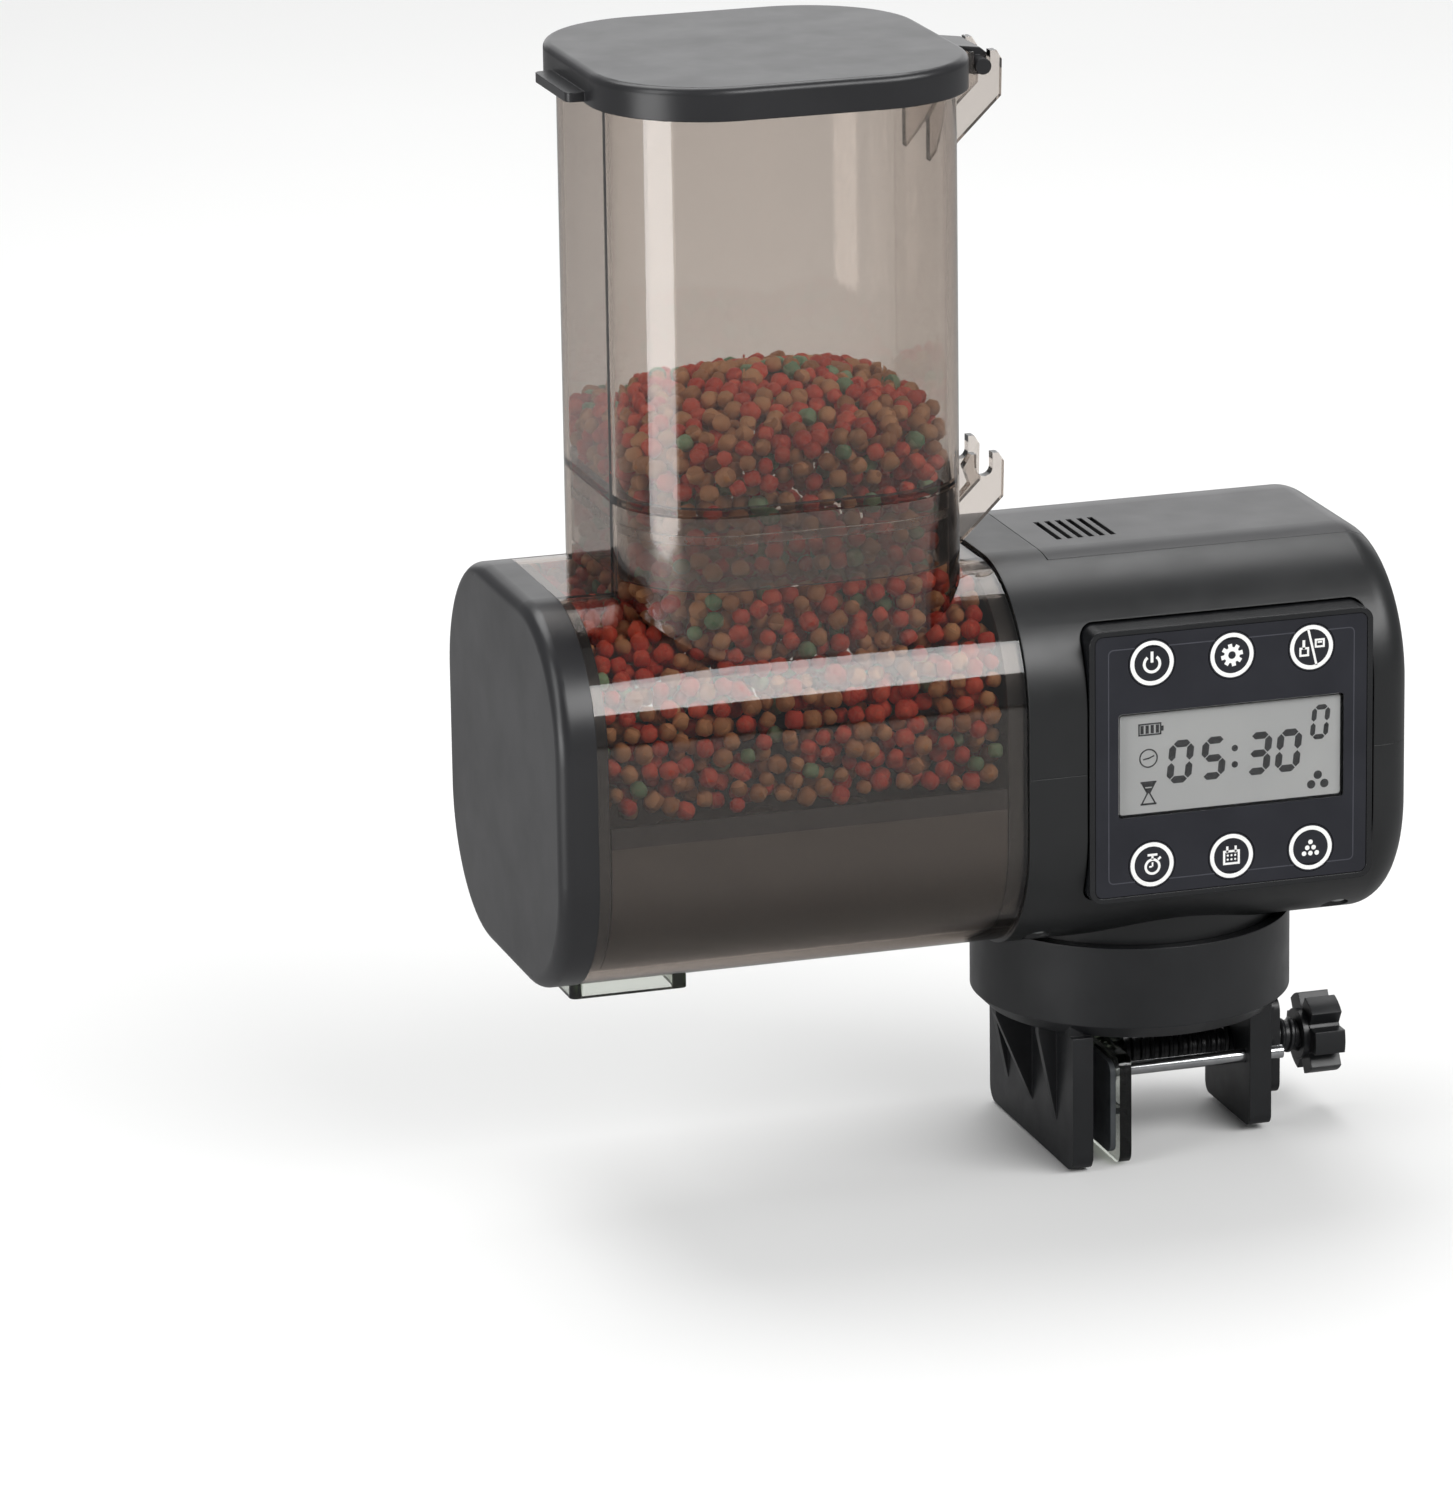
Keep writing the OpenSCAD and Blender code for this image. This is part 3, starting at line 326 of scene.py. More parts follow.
# Screen-printed ink, slightly thick at its edges.
print_white = opaque("white_screen_ink", "#E9E9E7", "#F7F7F5", patch=3,
                     rough=(0.45, 0.55), grain=(0.3, 0.004))
print_grey = opaque("grey_screen_ink", "#3B3C44", "#42434B", patch=4,
                    rough=(0.45, 0.55), grain=(0.3, 0.004))
# The liner is black along its rim. Below the rim it is painted a warm grey: a painted sheen for
# the light that catches its lower wall through the smoke wall.
liner = opaque("liner_painted_sheen_grey", "#5F5B57", "#6A6561", patch=30, rough=(0.32, 0.38),
               grain=(2.5, 0.001), band=(trough_top - 4.5, "#1B1B1D"), IOR=1.53)
# Reflective twisted-nematic display: an even silver grey with a faint drift.
display_face = opaque("lcd_silver_reflector", "#D2D3D2", "#DADBD9", patch=22,
                      rough=(0.5, 0.6), grain=(0.2, 0.001))
# The segments that are switched on: near black and flat.
display_ink = opaque("lcd_dark_segment", "#0B0C0E", "#131417", patch=5,
                     rough=(0.4, 0.5), grain=(0.2, 0.001))
# Drawn steel rod: bright, with fine lines along the bar.
steel_drawn = opaque("drawn_stainless_steel", "#C4C6C8", "#D9DADB", patch=3,
                     rough=(0.16, 0.28), grain=(0.35, 0.002), stretch=(0.05, 1, 1),
                     Metallic=1.0)
# Zinc-plated screws, washer and contacts: a little duller, with no direction.
steel_plated = opaque("zinc_plated_steel", "#B4B6B6", "#CDCFCE", patch=2.5,
                      rough=(0.24, 0.36), grain=(0.3, 0.003), Metallic=1.0)
# The motor's can: an even grey plate with broad soft highlights.
nickel_can = opaque("nickel_plated_motor_can", "#A9ABAD", "#BFC0C1", patch=8,
                    rough=(0.22, 0.34), grain=(0.5, 0.003), Metallic=1.0)
# The pinion's brass, freshly cut: a clean yellow with small sharp highlights.
brass_cut = opaque("hobbed_brass", "#B58F45", "#C7A45A", patch=3,
                   rough=(0.22, 0.34), grain=(0.3, 0.003), Metallic=1.0)
# Acetal, waxy and milky: a little light sinks into its skin.
acetal = opaque("natural_acetal", "#DAD7CC", "#E8E6DE", patch=9,
                rough=(0.34, 0.44), grain=(0.6, 0.004), IOR=1.48,
                **{"Subsurface Weight": 0.15, "Subsurface Radius": (0.002, 0.002, 0.0016)})
# Soft grey silicone with a dull skin.
silicone = opaque("moulded_silicone_grey", "#4A4D51", "#5A5D61", patch=6,
                  rough=(0.5, 0.62), grain=(0.5, 0.006), IOR=1.43)
# The board's green lacquer, which lies unevenly over its copper.
board_resist = opaque("green_solder_resist", "#174A2C", "#1F6039", patch=4,
                      rough=(0.3, 0.42), grain=(0.8, 0.01))
# The cells' shrunk sleeve: an even green with a soft gloss.
cell_wrap = opaque("pvc_cell_sleeve", "#2F6347", "#3C7455", patch=10,
                   rough=(0.28, 0.36), grain=(1.2, 0.004))

# Smoke-tinted SAN: a warm grey veil, darker where the wall is seen edge-on.
smoke_san = clear("smoke_san_polished", (0.66, 0.615, 0.58), wall=2.2, rough=(0.012, 0.05),
                  ior=1.57, haze=14)
# The press plate and the chute, less deeply tinted.
clear_jaw = clear("clear_grey_san", (0.74, 0.76, 0.72), wall=2.2, rough=(0.03, 0.09),
                  ior=1.57, haze=8)
# The lens carries an anti-reflection coat, drawn as a lower index.
lens_pane = clear("clear_acrylic_pane", (0.985, 0.985, 0.985), wall=0.9, rough=(0.01, 0.03),
                  ior=1.2, haze=16)
# The neck's seal is a clear silicone that goes milky where it is thick.
seal_clear = clear("clear_silicone", (0.82, 0.80, 0.78), wall=2.0, rough=(0.22, 0.34),
                   ior=1.41, haze=4)

food_red = food("extruded_feed_red", "#CC2E1C", "#F86A50")
food_brown = food("extruded_feed_brown", "#B07446", "#E8AE7C")
food_green = food("extruded_feed_green", "#64946F", "#A0C8A0")

FINISH = {
    abs_satin: "housing_lower housing_upper bulkhead gear_plate battery_tray",
    abs_stoned: "end_cap hopper_lid battery_door",
    abs_clamp: "clamp_body clamp_knob",
    abs_gloss: "panel_bezel",
    overlay_film: "panel_overlay key_power key_settings key_mode key_timer key_schedule "
                  "key_portion",
    liner: "feed_trough",
    display_face: "display_module",
    steel_drawn: "guide_rods feed_shaft",
    steel_plated: "swivel_washer battery_contacts",
    nickel_can: "gear_motor",
    brass_cut: "motor_pinion",
    acetal: "feed_gear feed_screw end_bush",
    silicone: "pressure_pad shaft_seal key_mat",
    seal_clear: "neck_seal",
    board_resist: "control_board",
    cell_wrap: "battery_cells",
    smoke_san: "drum_shell hopper_tank",
    clear_jaw: "pressure_plate outlet_chute",
    lens_pane: "display_lens",
}
for finish, names in FINISH.items():
    for name in names.split():
        for slot in frame["nodes"][name].material_slots:
            slot.material = finish


# ---------- Geometry Nodes ----------

def new_tree(name, sockets):
    """An empty geometry tree with a Geometry input and output and the named inputs."""
    tree = bpy.data.node_groups.new(name, "GeometryNodeTree")
    tree.interface.new_socket("Geometry", in_out="OUTPUT", socket_type="NodeSocketGeometry")
    tree.interface.new_socket("Geometry", in_out="INPUT", socket_type="NodeSocketGeometry")
    for label, kind in sockets:
        tree.interface.new_socket(label, in_out="INPUT", socket_type="NodeSocket" + kind)
    return tree, add(tree, "NodeGroupInput").outputs


def finish_tree(tree, geometry, material):
    """Ends a tree: real geometry, with its material, to the output."""
    real = add(tree, "GeometryNodeRealizeInstances", {"Geometry": geometry})
    painted = add(tree, "GeometryNodeSetMaterial", {
        "Geometry": real.outputs[0], "Material": material})
    add(tree, "NodeGroupOutput", {0: painted.outputs[0]})


def grow(name, tree, carrier, values):
    """Runs a geometry tree on the carrier and keeps the result as a plain mesh piece."""
    modifier = carrier.modifiers.new(name, "NODES")
    modifier.node_group = tree
    for item in tree.interface.items_tree:
        if item.item_type == "SOCKET" and item.in_out == "INPUT" and item.name in values:
            modifier[item.identifier] = values[item.name]
    graph = bpy.context.evaluated_depsgraph_get()
    mesh = bpy.data.meshes.new_from_object(carrier.evaluated_get(graph))
    carrier.modifiers.remove(modifier)
    mesh.name = name
    return new_object(name, mesh)


def pellet_tree():
    """Scatters pellets over the carrier's sheets, evenly spaced and turned at random. Share from
    and Share to pick the part of them that one colour has."""
    tree, given = new_tree("pellet_bed", [
        ("Pellet", "Object"), ("Spacing", "Float"), ("Smallest", "Float"), ("Largest", "Float"),
        ("Share from", "Float"), ("Share to", "Float"), ("Seed", "Int"), ("Finish", "Material")])
    # Points per square metre, more than the spacing leaves room for
    crowd = 4e5
    spots = add(tree, "GeometryNodeDistributePointsOnFaces", {
        "Mesh": given["Geometry"], "Distance Min": given["Spacing"], "Density Max": crowd,
        "Seed": given["Seed"]}, distribute_method="POISSON")
    lot = add(tree, "FunctionNodeRandomValue", {"Seed": 11}, data_type="FLOAT").outputs[1]
    below = add(tree, "FunctionNodeCompare", {0: lot, 1: given["Share from"]},
                operation="LESS_THAN")
    above = add(tree, "FunctionNodeCompare", {0: lot, 1: given["Share to"]},
                operation="GREATER_EQUAL")
    other = add(tree, "FunctionNodeBooleanMath", {0: below.outputs[0], 1: above.outputs[0]},
                operation="OR")
    kept = add(tree, "GeometryNodeDeleteGeometry", {
        "Geometry": spots.outputs["Points"], "Selection": other.outputs[0]}, domain="POINT")
    turn = add(tree, "FunctionNodeRandomValue", {"Seed": 12}, data_type="FLOAT_VECTOR")
    turn.inputs[1].default_value = (TAU, TAU, TAU)
    turned = add(tree, "FunctionNodeEulerToRotation", {0: turn.outputs[0]})
    size = add(tree, "FunctionNodeRandomValue", {"Seed": 13}, data_type="FLOAT")
    tree.links.new(given["Smallest"], size.inputs[2])
    tree.links.new(given["Largest"], size.inputs[3])
    shape = add(tree, "GeometryNodeObjectInfo", {"Object": given["Pellet"]})
    put = add(tree, "GeometryNodeInstanceOnPoints", {
        "Points": kept.outputs[0], "Instance": shape.outputs["Geometry"],
        "Rotation": turned.outputs[0], "Scale": size.outputs[1]})
    finish_tree(tree, put.outputs[0], given["Finish"])
    return tree


def thread_tree():
    """A screw thread: a spiral ridge round a core, along Z from 0."""
    tree, given = new_tree("screw_thread", [
        ("Outside radius", "Float"), ("Ridge", "Float"), ("Pitch", "Float"),
        ("Length", "Float"), ("Finish", "Material")])
    turns = add(tree, "ShaderNodeMath", {0: given["Length"], 1: given["Pitch"]},
                operation="DIVIDE")
    middle = add(tree, "ShaderNodeMath", {0: given["Outside radius"], 1: given["Ridge"]},
                 operation="SUBTRACT")
    path = add(tree, "GeometryNodeCurveSpiral", {
        "Resolution": 36, "Rotations": turns.outputs[0], "Start Radius": middle.outputs[0],
        "End Radius": middle.outputs[0], "Height": given["Length"]})
    ridge = add(tree, "GeometryNodeCurvePrimitiveCircle", {
        "Resolution": 6, "Radius": given["Ridge"]}, mode="RADIUS")
    swept = add(tree, "GeometryNodeCurveToMesh", {
        "Curve": path.outputs[0], "Profile Curve": ridge.outputs[0], "Fill Caps": True})
    core = add(tree, "GeometryNodeMeshCylinder", {
        "Vertices": 40, "Radius": middle.outputs[0], "Depth": given["Length"]})
    half = add(tree, "ShaderNodeMath", {0: given["Length"], 1: 0.5}, operation="MULTIPLY")
    lift = add(tree, "ShaderNodeCombineXYZ", {2: half.outputs[0]})
    raised = add(tree, "GeometryNodeTransform", {
        "Geometry": core.outputs[0], "Translation": lift.outputs[0]})
    both = add(tree, "GeometryNodeJoinGeometry")
    tree.links.new(swept.outputs[0], both.inputs[0])
    tree.links.new(raised.outputs[0], both.inputs[0])
    finish_tree(tree, both.outputs[0], given["Finish"])
    return tree


def screw_tree():
    """Puts one screw on every vertex of the carrier."""
    tree, given = new_tree("screw_set", [
        ("Screw", "Object"), ("Scale", "Float"), ("Finish", "Material")])
    shape = add(tree, "GeometryNodeObjectInfo", {"Object": given["Screw"]})
    spots = add(tree, "GeometryNodeMeshToPoints", {"Mesh": given["Geometry"]})
    put = add(tree, "GeometryNodeInstanceOnPoints", {
        "Points": spots.outputs[0], "Instance": shape.outputs["Geometry"],
        "Scale": given["Scale"]})
    finish_tree(tree, put.outputs[0], given["Finish"])
    return tree


# ---------- the food ----------

WALL = 2.2              # the clear walls
PELLET = 3.8            # diameter of a pellet before it is scaled
SPACING = 3.45          # least distance between the middles of two pellets
LAYERS = 3              # layers of pellets, one behind another
LAYER_STEP = 0.9 * SPACING
WALL_TO_MIDDLE = WALL + PELLET / 2 + 0.1
HOPPER_R, DRUM_R = 23, 29

# The hopper's box is wider than its tank by the lid hooks on the right, so the width comes
# from the depth, which is 1 mm more
hopper_d = tank_high.y - tank_low.y
hopper_w = hopper_d - 1
hopper_x = tank_low.x + hopper_w / 2
drum_w, drum_h = cap_high.y - cap_low.y, cap_high.z - cap_low.z
drum_z = (cap_high.z + cap_low.z) / 2
# The drum's food starts 1.6 mm inside the end of the cap's collar and ends at the bulkhead
drum_x0, drum_x1 = cap_high.x - 1.6, bulkhead_x
# The open end of the hopper's plug, and the rim of the drum's neck, 4.3 mm over the seal
plug_z, neck_z = tank_low.z, seal_top + 4.3
# The plug's inner face stands further in than the hopper's
PLUG_STEP = 2.1
plug_food_low, plug_food_high = plug_z + 2.7, neck_z + 1.5
hopper_food_low = neck_z + 4.5


def hopper_loop(inset, z, share=1.0):
    """The hopper's outline, inset and then shrunk to a share, at a height z or z(x, y)."""
    spots = [(hopper_x + share * x, share * y)
             for x, y in rounded(hopper_w - 2 * inset, hopper_d - 2 * inset, HOPPER_R - inset)]
    return [(x, y, z(x, y) if callable(z) else z) for x, y in spots]


def heap(x, y):
    """Height of the food's top in the hopper: a low cone, a little to the right and back."""
    reach, edge_height, cone_height = 42, 12, 9.5
    away = math.hypot((x - hopper_x - 4) / reach, (y - 3) / reach)
    ripple = 0.9 * math.sin(x * 0.31 + 1) * math.cos(y * 0.27)
    return neck_z + edge_height + cone_height * max(0.0, 1 - away) ** 0.8 + ripple


def hopper_sheets():
    """Sheets under the outer pellets of the hopper: in its plug, up its walls and over the
    heap."""
    bm = bmesh.new()
    for layer in range(LAYERS):
        deep = layer * LAYER_STEP
        side = WALL_TO_MIDDLE + deep
        plug = side + PLUG_STEP
        loft(bm, [hopper_loop(plug, plug_food_low), hopper_loop(plug, plug_food_high)])
        top = hopper_loop(side, heap)
        loft(bm, [[(x, y, hopper_food_low) for x, y, _ in top],
                  [(x, y, z - deep) for x, y, z in top]])
        rows = loft(bm, [hopper_loop(side, lambda x, y: heap(x, y) - deep, share)
                         for share in (1.0, 0.9, 0.75, 0.6, 0.45, 0.3, 0.15)])
        bm.faces.new(rows[-1])
    return bm


def drum_sheets():
    """Sheets under the outer pellets of the drum: round its arch down to the liner's rim, at
    both ends, and up in the neck under the hopper's plug."""
    bm = bmesh.new()
    foot = trough_top + PELLET / 2
    neck_low, neck_high = cap_high.z - 13, plug_z - 0.7 * PELLET
    for layer in range(LAYERS):
        deep = layer * LAYER_STEP
        inset = WALL_TO_MIDDLE + deep
        outline = [(y, drum_z + z) for y, z in rounded(drum_w - 2 * inset, drum_h - 2 * inset,
                                                      DRUM_R - inset)]
        arch = [(y, z) for y, z in outline if z > drum_z + 2]
        arch = [(arch[0][0], foot), *arch, (arch[-1][0], foot)]
        ends = (drum_x0 + PELLET / 2 + deep, drum_x1 - PELLET / 2 - deep)
        loft(bm, [[(x, y, z) for y, z in arch] for x in ends], closed=False)
        for x in ends:
            face = bm.faces.new([bm.verts.new((x * MM, y * MM, z * MM)) for y, z in arch])
            if x == ends[0]:
                face.normal_flip()
        loft(bm, [hopper_loop(inset, neck_low), hopper_loop(inset, neck_high)])
        rows = loft(bm, [hopper_loop(inset, neck_high - deep, share)
                         for share in (1.0, 0.7, 0.4, 0.15)])
        bm.faces.new(rows[-1])
    return bm


def pellet_shape():
    """A short rounded cylinder, 8 faces round, a little shorter than it is wide."""
    bm = bmesh.new()
    r, h = PELLET / 2 * MM, PELLET * 0.46 * MM
    rings = []
    for radius, z in ((0.66, -1), (1, -0.55), (1, 0.55), (0.66, 1)):
        rings.append([bm.verts.new((r * radius * math.cos(TAU * i / 8),
                                    r * radius * math.sin(TAU * i / 8), h * z))
                      for i in range(8)])
    for low, high in zip(rings, rings[1:]):
        for i in range(8):
            j = (i + 1) % 8
            bm.faces.new((low[i], low[j], high[j], high[i]))
    bm.faces.new(list(reversed(rings[0])))
    bm.faces.new(rings[-1])
    made = mesh_piece("pellet_shape", bm, food_brown)
    made.data.shade_smooth()
    return made


def lay_food(where, body, bm, seed):
    """Lays the three colours of pellets over a stack of sheets. Of a hundred pellets 46 are
    red, 8 green and 46 brown."""
    carrier = mesh_piece("food_sheets", bm, food_brown)
    for colour, finish, first, last in (("red", food_red, 0.0, 0.46),
                                        ("green", food_green, 0.46, 0.54),
                                        ("brown", food_brown, 0.54, 1.01)):
        bed = grow(f"food_{where}_{colour}", pellets, carrier, {
            "Pellet": pellet, "Spacing": SPACING * MM, "Smallest": 0.78, "Largest": 1.06,
            "Share from": first, "Share to": last, "Seed": seed, "Finish": finish})
        bed.data.shade_smooth()
        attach(bed, body)
    drop(carrier)


pellets = pellet_tree()
pellet = pellet_shape()
lay_food("hopper", "hopper", hopper_sheets(), 4)
lay_food("drum", "feeder", drum_sheets(), 9)
drop(pellet)


# ---------- screws ----------

SHANK_R = 1.5
HEAD_HEIGHT = 2.0
SHANK_START = 1.95      # the shank runs 0.05 mm into its head
# The clamp's plastic screw
PLAIN_TIP = 7.5         # the length without thread, in the press plate
THREAD_PITCH = 2.2
THREAD_RIDGE = 0.62     # radius of the ridge


def screw_shape(radius, height):
    """A pan head with a cross recess, its top at z = 0 and its underside at -height."""
    bm = bmesh.new()
    arm, width, depth = radius * 0.62, radius * 0.16, height * 0.55
    cross = []
    for quarter in range(4):
        a = quarter * math.pi / 2
        for x, y in ((arm, -width), (arm, width), (width, width)):
            cross.append((x * math.cos(a) - y * math.sin(a), x * math.sin(a) + y * math.cos(a)))
    # The flat top ends at 0.8 of the radius, and the head's side stands at 1.25 of that
    rim = []
    for x, y in cross:
        a = math.atan2(y, x)
        rim.append((radius * 0.8 * math.cos(a), radius * 0.8 * math.sin(a)))
    rings = [[(x * 0.8, y * 0.8, -depth) for x, y in cross], [(x, y, 0) for x, y in cross]]
    for share, drop_share in ((1, 0.04), (1.18, 0.2), (1.25, 0.45), (1.25, 1)):
        rings.append([(x * share, y * share, -height * drop_share) for x, y in rim])
    rows = loft(bm, rings)
    bm.faces.new(rows[0])
    bm.faces.new(rows[-1])
    return mesh_piece("screw_shape", bm, steel_plated, 35)


def points_object(spots):
    """A mesh of loose points, which carries a geometry tree."""
    mesh = bpy.data.meshes.new("screw_spots")
    mesh.from_pydata([[c * MM for c in p] for p in spots], [], [])
    return new_object("screw_spots", mesh)


def flipped(piece, about_z):
    """Turns a finished piece upside down about a height, for screws driven from below."""
    turn = Matrix.Rotation(math.pi, 4, "X")
    middle = Matrix.Translation((0, 0, about_z * MM))
    piece.data.transform(middle @ turn @ middle.inverted())


def corner_spots(node, inset):
    """The four corners of a node's box in plan, inset."""
    low, high = box_mm(node)
    return [(x, y) for x in (low.x + inset, high.x - inset)
            for y in (low.y + inset, high.y - inset)]


def driven_from_below(node, body, spots, head_radius, head_name, shank_name):
    """Heads and shanks for a node's screws, which stand head down at the spots."""
    low, high = box_mm(node)
    head = screw_shape(head_radius, HEAD_HEIGHT)
    # Turning them over swaps front and back, so the heads are laid out with y the other way
    carrier = points_object([(x, -y, low.z) for x, y in spots])
    heads = grow(head_name, screws, carrier, {
        "Screw": head, "Scale": 1.0, "Finish": steel_plated})
    flipped(heads, low.z)
    shanks = bmesh.new()
    for x, y in spots:
        loft_rod(shanks, (x, y, low.z + SHANK_START), (x, y, high.z), SHANK_R)
    rods = mesh_piece(shank_name, shanks, steel_plated, 40)
    for made in (heads, rods):
        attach(made, body)
    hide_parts(node)
    drop(head, carrier)


def clamp_thread():
    """The clamp's plastic screw: a plain tip in the press plate, then a coarse thread."""
    low, high = box_mm("clamp_screw")
    axis = (low.z + high.z) / 2
    radius = (high.z - low.z) / 2
    start = low.x + PLAIN_TIP
    carrier = points_object([(0, 0, 0)])
    screw = grow("clamp_screw_thread", thread_tree(), carrier, {
        "Outside radius": (radius - 0.02) * MM, "Ridge": THREAD_RIDGE * MM,
        "Pitch": THREAD_PITCH * MM, "Length": (high.x - start) * MM, "Finish": abs_clamp})
    screw.data.transform(Matrix.Translation((start * MM, 0, axis * MM))
                         @ Matrix.Rotation(math.pi / 2, 4, "Y"))
    screw.data.shade_smooth()
    screw.data.set_sharp_from_angle(angle=math.radians(50))
    tip = bmesh.new()
    loft_rod(tip, (low.x, 0, axis), (start + 1, 0, axis), radius - 1, 32, 0.5)
    tip = mesh_piece("clamp_screw_tip", tip, abs_clamp, 40)
    for made in (screw, tip):
        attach(made, "clamp_screw")
    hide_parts("clamp_screw")
    drop(carrier)


screws = screw_tree()
driven_from_below("housing_screws", "feeder", corner_spots("housing_screws", 2.8), 2.8,
                  "housing_screw_heads", "housing_screw_shanks")
driven_from_below("swivel_screw", body_of(frame["nodes"]["swivel_screw"])[0], [(0, 0)], 3.4,
                  "swivel_screw_head", "swivel_screw_shank")
clamp_thread()


# ---------- flat printed shapes, drawn as seen from the front ----------

class Print:
    """Collects flat shapes that lie in the XZ plane, each a thin closed slab. u runs right and
    v up from the given middle."""

    def __init__(self, middle, front, depth):
        self.bm = bmesh.new()
        self.middle = middle
        self.front, self.back = front, front + depth

    def _points(self, loop, y):
        x0, z0 = self.middle
        return [self.bm.verts.new(((x0 + u) * MM, y * MM, (z0 + v) * MM)) for u, v in loop]

    def shape(self, loop):
        """A filled outline."""
        near, far = self._points(loop, self.front), self._points(loop, self.back)
        count = len(loop)
        self.bm.faces.new(near)
        self.bm.faces.new(list(reversed(far)))
        for i in range(count):
            j = (i + 1) % count
            self.bm.faces.new((near[j], near[i], far[i], far[j]))

    def band(self, outer, inner):
        """The band between two outlines with the same number of points."""
        a, b = self._points(outer, self.front), self._points(inner, self.front)
        c, d = self._points(outer, self.back), self._points(inner, self.back)
        count = len(outer)
        for i in range(count):
            j = (i + 1) % count
            for quad in ((a[i], a[j], b[j], b[i]), (c[j], c[i], d[i], d[j]),
                         (a[j], a[i], c[i], c[j]), (b[i], b[j], d[j], d[i])):
                self.bm.faces.new(quad)

    def line(self, start, end, width):
        """A straight stroke with square ends."""
        s, e = Vector(start), Vector(end)
        side = (e - s).normalized().orthogonal() * width / 2
        self.shape([tuple(s + side), tuple(s - side), tuple(e - side), tuple(e + side)])

    def arc(self, centre, radius, width, first, last, steps=28):
        """A curved stroke from one angle to another, in degrees."""
        turns = [math.radians(first + (last - first) * i / steps) for i in range(steps + 1)]
        at = [[(centre[0] + r * math.cos(t), centre[1] + r * math.sin(t)) for t in turns]
              for r in (radius + width / 2, radius - width / 2)]
        if abs(last - first) >= 360:
            self.band(at[0][:-1], at[1][:-1])
        else:
            self.shape(at[0] + list(reversed(at[1])))

    def dot(self, centre, radius, sides=20):
        """A filled disc."""
        self.shape([(centre[0] + radius * math.cos(TAU * i / sides),
                     centre[1] + radius * math.sin(TAU * i / sides)) for i in range(sides)])

    def outline(self, low, high, width):
        """A rectangle drawn with a stroke."""
        (a, b), (c, d) = low, high
        self.band([(a, b), (c, b), (c, d), (a, d)],
                  [(a + width, b + width), (c - width, b + width),
                   (c - width, d - width), (a + width, d - width)])

    def make(self, name, finish, body):
        """Turns the shapes into a piece that rides on a body."""
        piece = mesh_piece(name, self.bm, finish)
        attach(piece, body)


KEY_RING_R, KEY_RING_WIDTH = 4.42, 0.9
PRINT_PROUD = 0.03      # how far the ink stands out of the key


# The next six functions have the names of the keys that they draw on

def key_power(ink):
    """A broken ring with a bar at the top."""
    ink.arc((0, -0.2), 1.75, 0.62, 125, 415)
    ink.line((0, 0.1), (0, 2.5), 0.62)


def key_settings(ink):
    """A gear of eight teeth with a hole."""
    loop = []
    for i in range(8):
        for part, radius in ((-0.34, 1.75), (-0.24, 2.5), (0.24, 2.5), (0.34, 1.75)):
            a = TAU * (i + part) / 8 + 0.2
            loop.append((radius * math.cos(a), radius * math.sin(a)))
    hole = []
    for u, v in loop:
        a = math.atan2(v, u)
        hole.append((0.85 * math.cos(a), 0.85 * math.sin(a)))
    ink.band(loop, hole)


def key_mode(ink):
    """Two small symbols with a slanting stroke between them."""
    ink.line((-0.75, 4.0), (1.15, -4.0), 0.5)
    # A pointing hand on the left
    ink.line((-1.75, -0.3), (-1.75, 1.7), 0.6)
    ink.outline((-2.75, -1.9), (-0.55, 0.1), 0.45)
    # A screen with a bar on the right
    ink.outline((0.75, -0.2), (3.0, 1.75), 0.42)
    ink.line((1.4, 1.0), (2.4, 1.0), 0.4)


def key_timer(ink):
    """A stopwatch with two hands."""
    ink.arc((0.1, -0.5), 1.55, 0.55, 0, 360)
    ink.line((0.1, 1.0), (0.1, 1.9), 0.5)
    ink.line((-1.0, 2.1), (1.2, 2.1), 0.5)
    ink.line((1.35, 0.95), (1.95, 1.5), 0.5)
    ink.line((0.1, -0.5), (0.1, 0.45), 0.36)
    ink.line((0.0, -0.5), (-0.65, -0.5), 0.36)


def key_schedule(ink):
    """A calendar leaf with two loops and six days."""
    ink.outline((-1.9, -1.9), (1.9, 1.3), 0.48)
    for u in (-0.95, 0.95):
        ink.line((u, 0.7), (u, 2.2), 0.5)
    for u in (-0.85, 0.0, 0.85):
        for v in (0.15, -0.75):
            ink.dot((u, v), 0.24, 10)


def key_portion(ink):
    """A heap of six pellets."""
    for row, count in enumerate((1, 2, 3)):
        for i in range(count):
            ink.dot(((i - (count - 1) / 2) * 1.45, 1.25 - row * 1.25), 0.52)


for draw in (key_power, key_settings, key_mode, key_timer, key_schedule, key_portion):
    name = draw.__name__
    low, high = box_mm(name)
    ink = Print(((low.x + high.x) / 2, (low.z + high.z) / 2), low.y - PRINT_PROUD, 0.06)
    ink.arc((0, 0), KEY_RING_R, KEY_RING_WIDTH, 0, 360, 56)
    draw(ink)
    ink.make("print_" + name, print_white, name)


# ---------- the display ----------

def segment(start, end, width):
    """One segment of a digit: a bar with pointed ends."""
    s, e = Vector(start), Vector(end)
    along = (e - s).normalized()
    side = Vector((-along.y, along.x)) * width / 2
    tip = along * width / 2
    return [tuple(p) for p in (s, s + tip + side, e - tip + side, e, e - tip - side,
                               s + tip - side)]


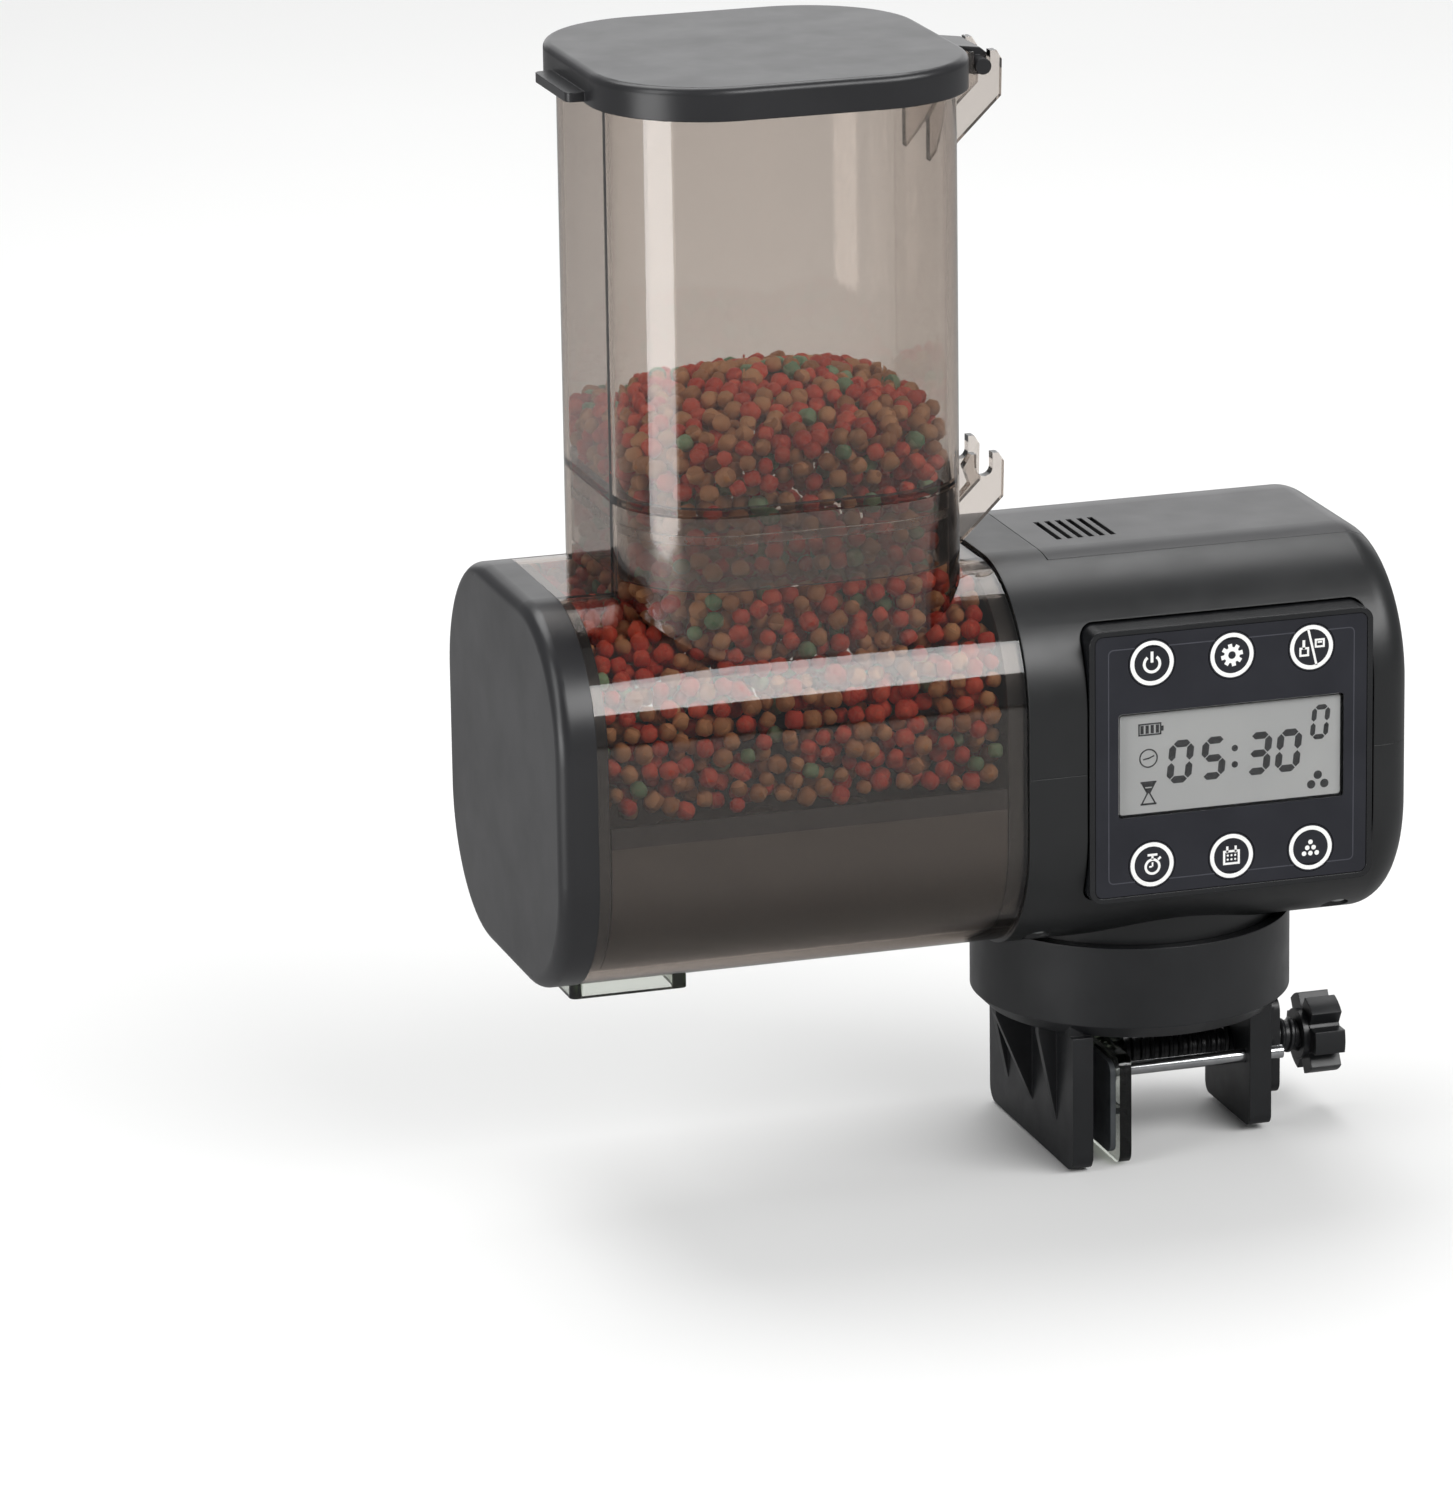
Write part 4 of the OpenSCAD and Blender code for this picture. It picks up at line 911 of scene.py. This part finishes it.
def digit(ink, left, low, width, height, stroke, lit, lean=0.1):
    """A seven-segment digit. lit names its segments, a to g, from the top clockwise."""
    w, h, g = width - stroke, height - stroke, 0.16
    ends = {
        "a": ((g, h), (w - g, h)), "b": ((w, h - g), (w, h / 2 + g)),
        "c": ((w, h / 2 - g), (w, g)), "d": ((g, 0), (w - g, 0)),
        "e": ((0, g), (0, h / 2 - g)), "f": ((0, h / 2 + g), (0, h - g)),
        "g": ((g, h / 2), (w - g, h / 2)),
    }
    for name in lit:
        s, e = ends[name]
        ink.shape([(left + stroke / 2 + u + lean * v, low + stroke / 2 + v)
                   for u, v in segment(s, e, stroke)])


ZERO, THREE, FIVE = "abcdef", "abcdg", "acdfg"


def display():
    """The dark segments on the display's face. Places are from the lens's top left corner."""
    low, high = box_mm("display_lens")
    face_y = box_mm("display_module")[0].y
    ink = Print((low.x, high.z), face_y - 0.04, 0.05)
    # The time, its colon and the small counter
    for left, lit in ((10.9, ZERO), (18.4, FIVE), (28.6, THREE), (35.4, ZERO)):
        digit(ink, left, -16.4, 5.6, 9.4, 1.55, lit)
    for v in (-10.0, -13.6):
        ink.dot((26.4, v), 0.72)
    digit(ink, 43.4, -9.9, 4.1, 7.6, 1.1, ZERO)
    # Battery with four bars
    ink.outline((4.6, -5.3), (9.8, -2.6), 0.32)
    ink.shape([(9.8, -4.5), (10.3, -4.5), (10.3, -3.4), (9.8, -3.4)])
    for i in range(4):
        ink.line((5.45 + i * 1.15, -4.85), (5.45 + i * 1.15, -3.05), 0.72)
    # Clock face with its hands
    ink.arc((6.9, -10.3), 1.95, 0.3, 0, 360)
    ink.line((5.7, -10.5), (7.0, -10.3), 0.3)
    ink.line((6.9, -10.35), (8.2, -9.8), 0.3)
    # Hourglass
    for v in (-15.6, -20.4):
        ink.line((5.1, v), (8.7, v), 0.42)
    ink.shape([(5.6, -15.8), (5.9, -16.6), (7.9, -16.6), (8.2, -15.8)])
    ink.shape([(6.0, -16.9), (6.75, -18.0), (7.05, -18.0), (7.8, -16.9)])
    for s in (-1, 1):
        ink.line((6.9 + s * 0.25, -18.0), (6.9 + s * 1.45, -20.2), 0.32)
        ink.line((6.9 + s * 1.45, -15.8), (6.9 + s * 0.25, -18.0), 0.32)
    # Portion dots
    for u, v in ((45.3, -17.8), (43.8, -19.8), (46.8, -19.8)):
        ink.dot((u, v), 0.95)
    ink.make("display_segments", display_ink, "feeder")


display()


def overlay_line():
    """A thin printed line just inside the overlay's edge."""
    low, high = box_mm("panel_overlay")
    ink = Print(((low.x + high.x) / 2, (low.z + high.z) / 2), low.y - 0.02, 0.05)
    inset, width = 2.8, 0.25
    w, d = high.x - low.x - 2 * inset, high.z - low.z - 2 * inset
    ink.band(rounded(w, d, 1.2, 5), rounded(w - 2 * width, d - 2 * width, 1.2 - width, 5))
    ink.make("overlay_line", print_grey, "feeder")


overlay_line()


# ---------- studio ----------

def floor():
    """A pale paper under and behind the feeder. Mirror rays find it dimmer, as if black flags
    stood round the set, so that the black mouldings keep their depth."""
    paper, tree = new_material("studio_paper_white")
    shade = add(tree, "ShaderNodeMix", {
        "Factor": drift(tree, 400), COLOUR_A: linear("#F3F3F2"), COLOUR_B: linear("#F8F8F7"),
    }, data_type="RGBA")
    path = add(tree, "ShaderNodeLightPath")
    # A ray that came through a clear wall still finds the paper white
    mirrored = add(tree, "ShaderNodeMath", {
        0: path.outputs["Is Glossy Ray"], 1: path.outputs["Is Transmission Ray"],
    }, operation="SUBTRACT", use_clamp=True)
    flagged = add(tree, "ShaderNodeMix", {
        "Factor": mirrored.outputs[0], COLOUR_A: shade.outputs[COLOUR_OUT],
        COLOUR_B: linear("#989898")}, data_type="RGBA")
    shader = add(tree, "ShaderNodeBsdfPrincipled", {
        "Base Color": flagged.outputs[COLOUR_OUT], "Roughness": 0.9})
    add(tree, "ShaderNodeOutputMaterial", {"Surface": shader.outputs[0]})
    # 9 m each way from the feeder, half a millimetre under it
    reach, level = 9000, cad_box[0].z / MM - 0.5
    bm = bmesh.new()
    loft(bm, [[(x, y, level) for x in (-reach, reach)] for y in (-reach, reach)], closed=False)
    sheet = mesh_piece("studio_floor", bm, paper)
    if sheet.data.polygons[0].normal.z < 0:
        sheet.data.flip_normals()


def lamp(name, place, target, size, power):
    """A soft box: a white rectangle of light at place, facing target."""
    data = bpy.data.lights.new(name, "AREA")
    data.shape = "RECTANGLE"
    data.size, data.size_y = size
    data.energy = power
    made = new_object(name, data)
    made.location = place
    made.rotation_euler = (Vector(target) - Vector(place)).to_track_quat("-Z", "Y").to_euler()
    made.visible_camera = False


def studio():
    """The lamps, in metres and watts, and a faint light from all round."""
    middle = (-0.045, 0, 0.09)
    lamp("soft_box_front", (0.75, -1.15, 1.15), middle, (1.7, 0.75), 23)
    lamp("soft_box_left", (-1.5, -0.5, 0.9), middle, (0.6, 1.3), 9)
    lamp("soft_box_top", (-0.1, 0.7, 1.5), middle, (1.6, 1.0), 18)
    # Gives the lid's top its grey sheen and keeps the paper white behind the feeder
    lamp("card_back", (0.6, 1.9, 0.55), middle, (2.2, 1.0), 6.5)
    # Draws the broad white band down the hopper's corner
    lamp("strip_low", (-0.66, -0.2, 0.05), (-0.12, -0.02, 0.1), (0.34, 0.17), 0.85)
    world = bpy.data.worlds.new("studio_air")
    world.use_nodes = True
    tree = world.node_tree
    tree.nodes.clear()
    air = add(tree, "ShaderNodeBackground", {"Color": linear("#F2F3F5"), "Strength": 0.27})
    add(tree, "ShaderNodeOutputWorld", {"Surface": air.outputs[0]})
    scene.world = world


def camera():
    """Stands to the left, in metres, looking down on the control panel, with a long lens."""
    data = bpy.data.cameras.new("studio_camera")
    data.sensor_width = 36
    data.lens = 193.824
    data.clip_start, data.clip_end = 0.05, 50
    made = new_object("studio_camera", data)
    made.location = (-0.5779, -1.5873, 0.5454)
    aim = Vector((0.28137, 0.91836, -0.27828))
    lean = Matrix.Rotation(math.radians(0.886), 3, aim)
    made.rotation_euler = (lean @ aim.to_track_quat("-Z", "Y").to_matrix()).to_euler()
    scene.camera = made


floor()
studio()
camera()
scene.view_settings.view_transform = "Standard"
scene.cycles.caustics_refractive = False
scene.cycles.transmission_bounces = 12
scene.cycles.transparent_max_bounces = 24
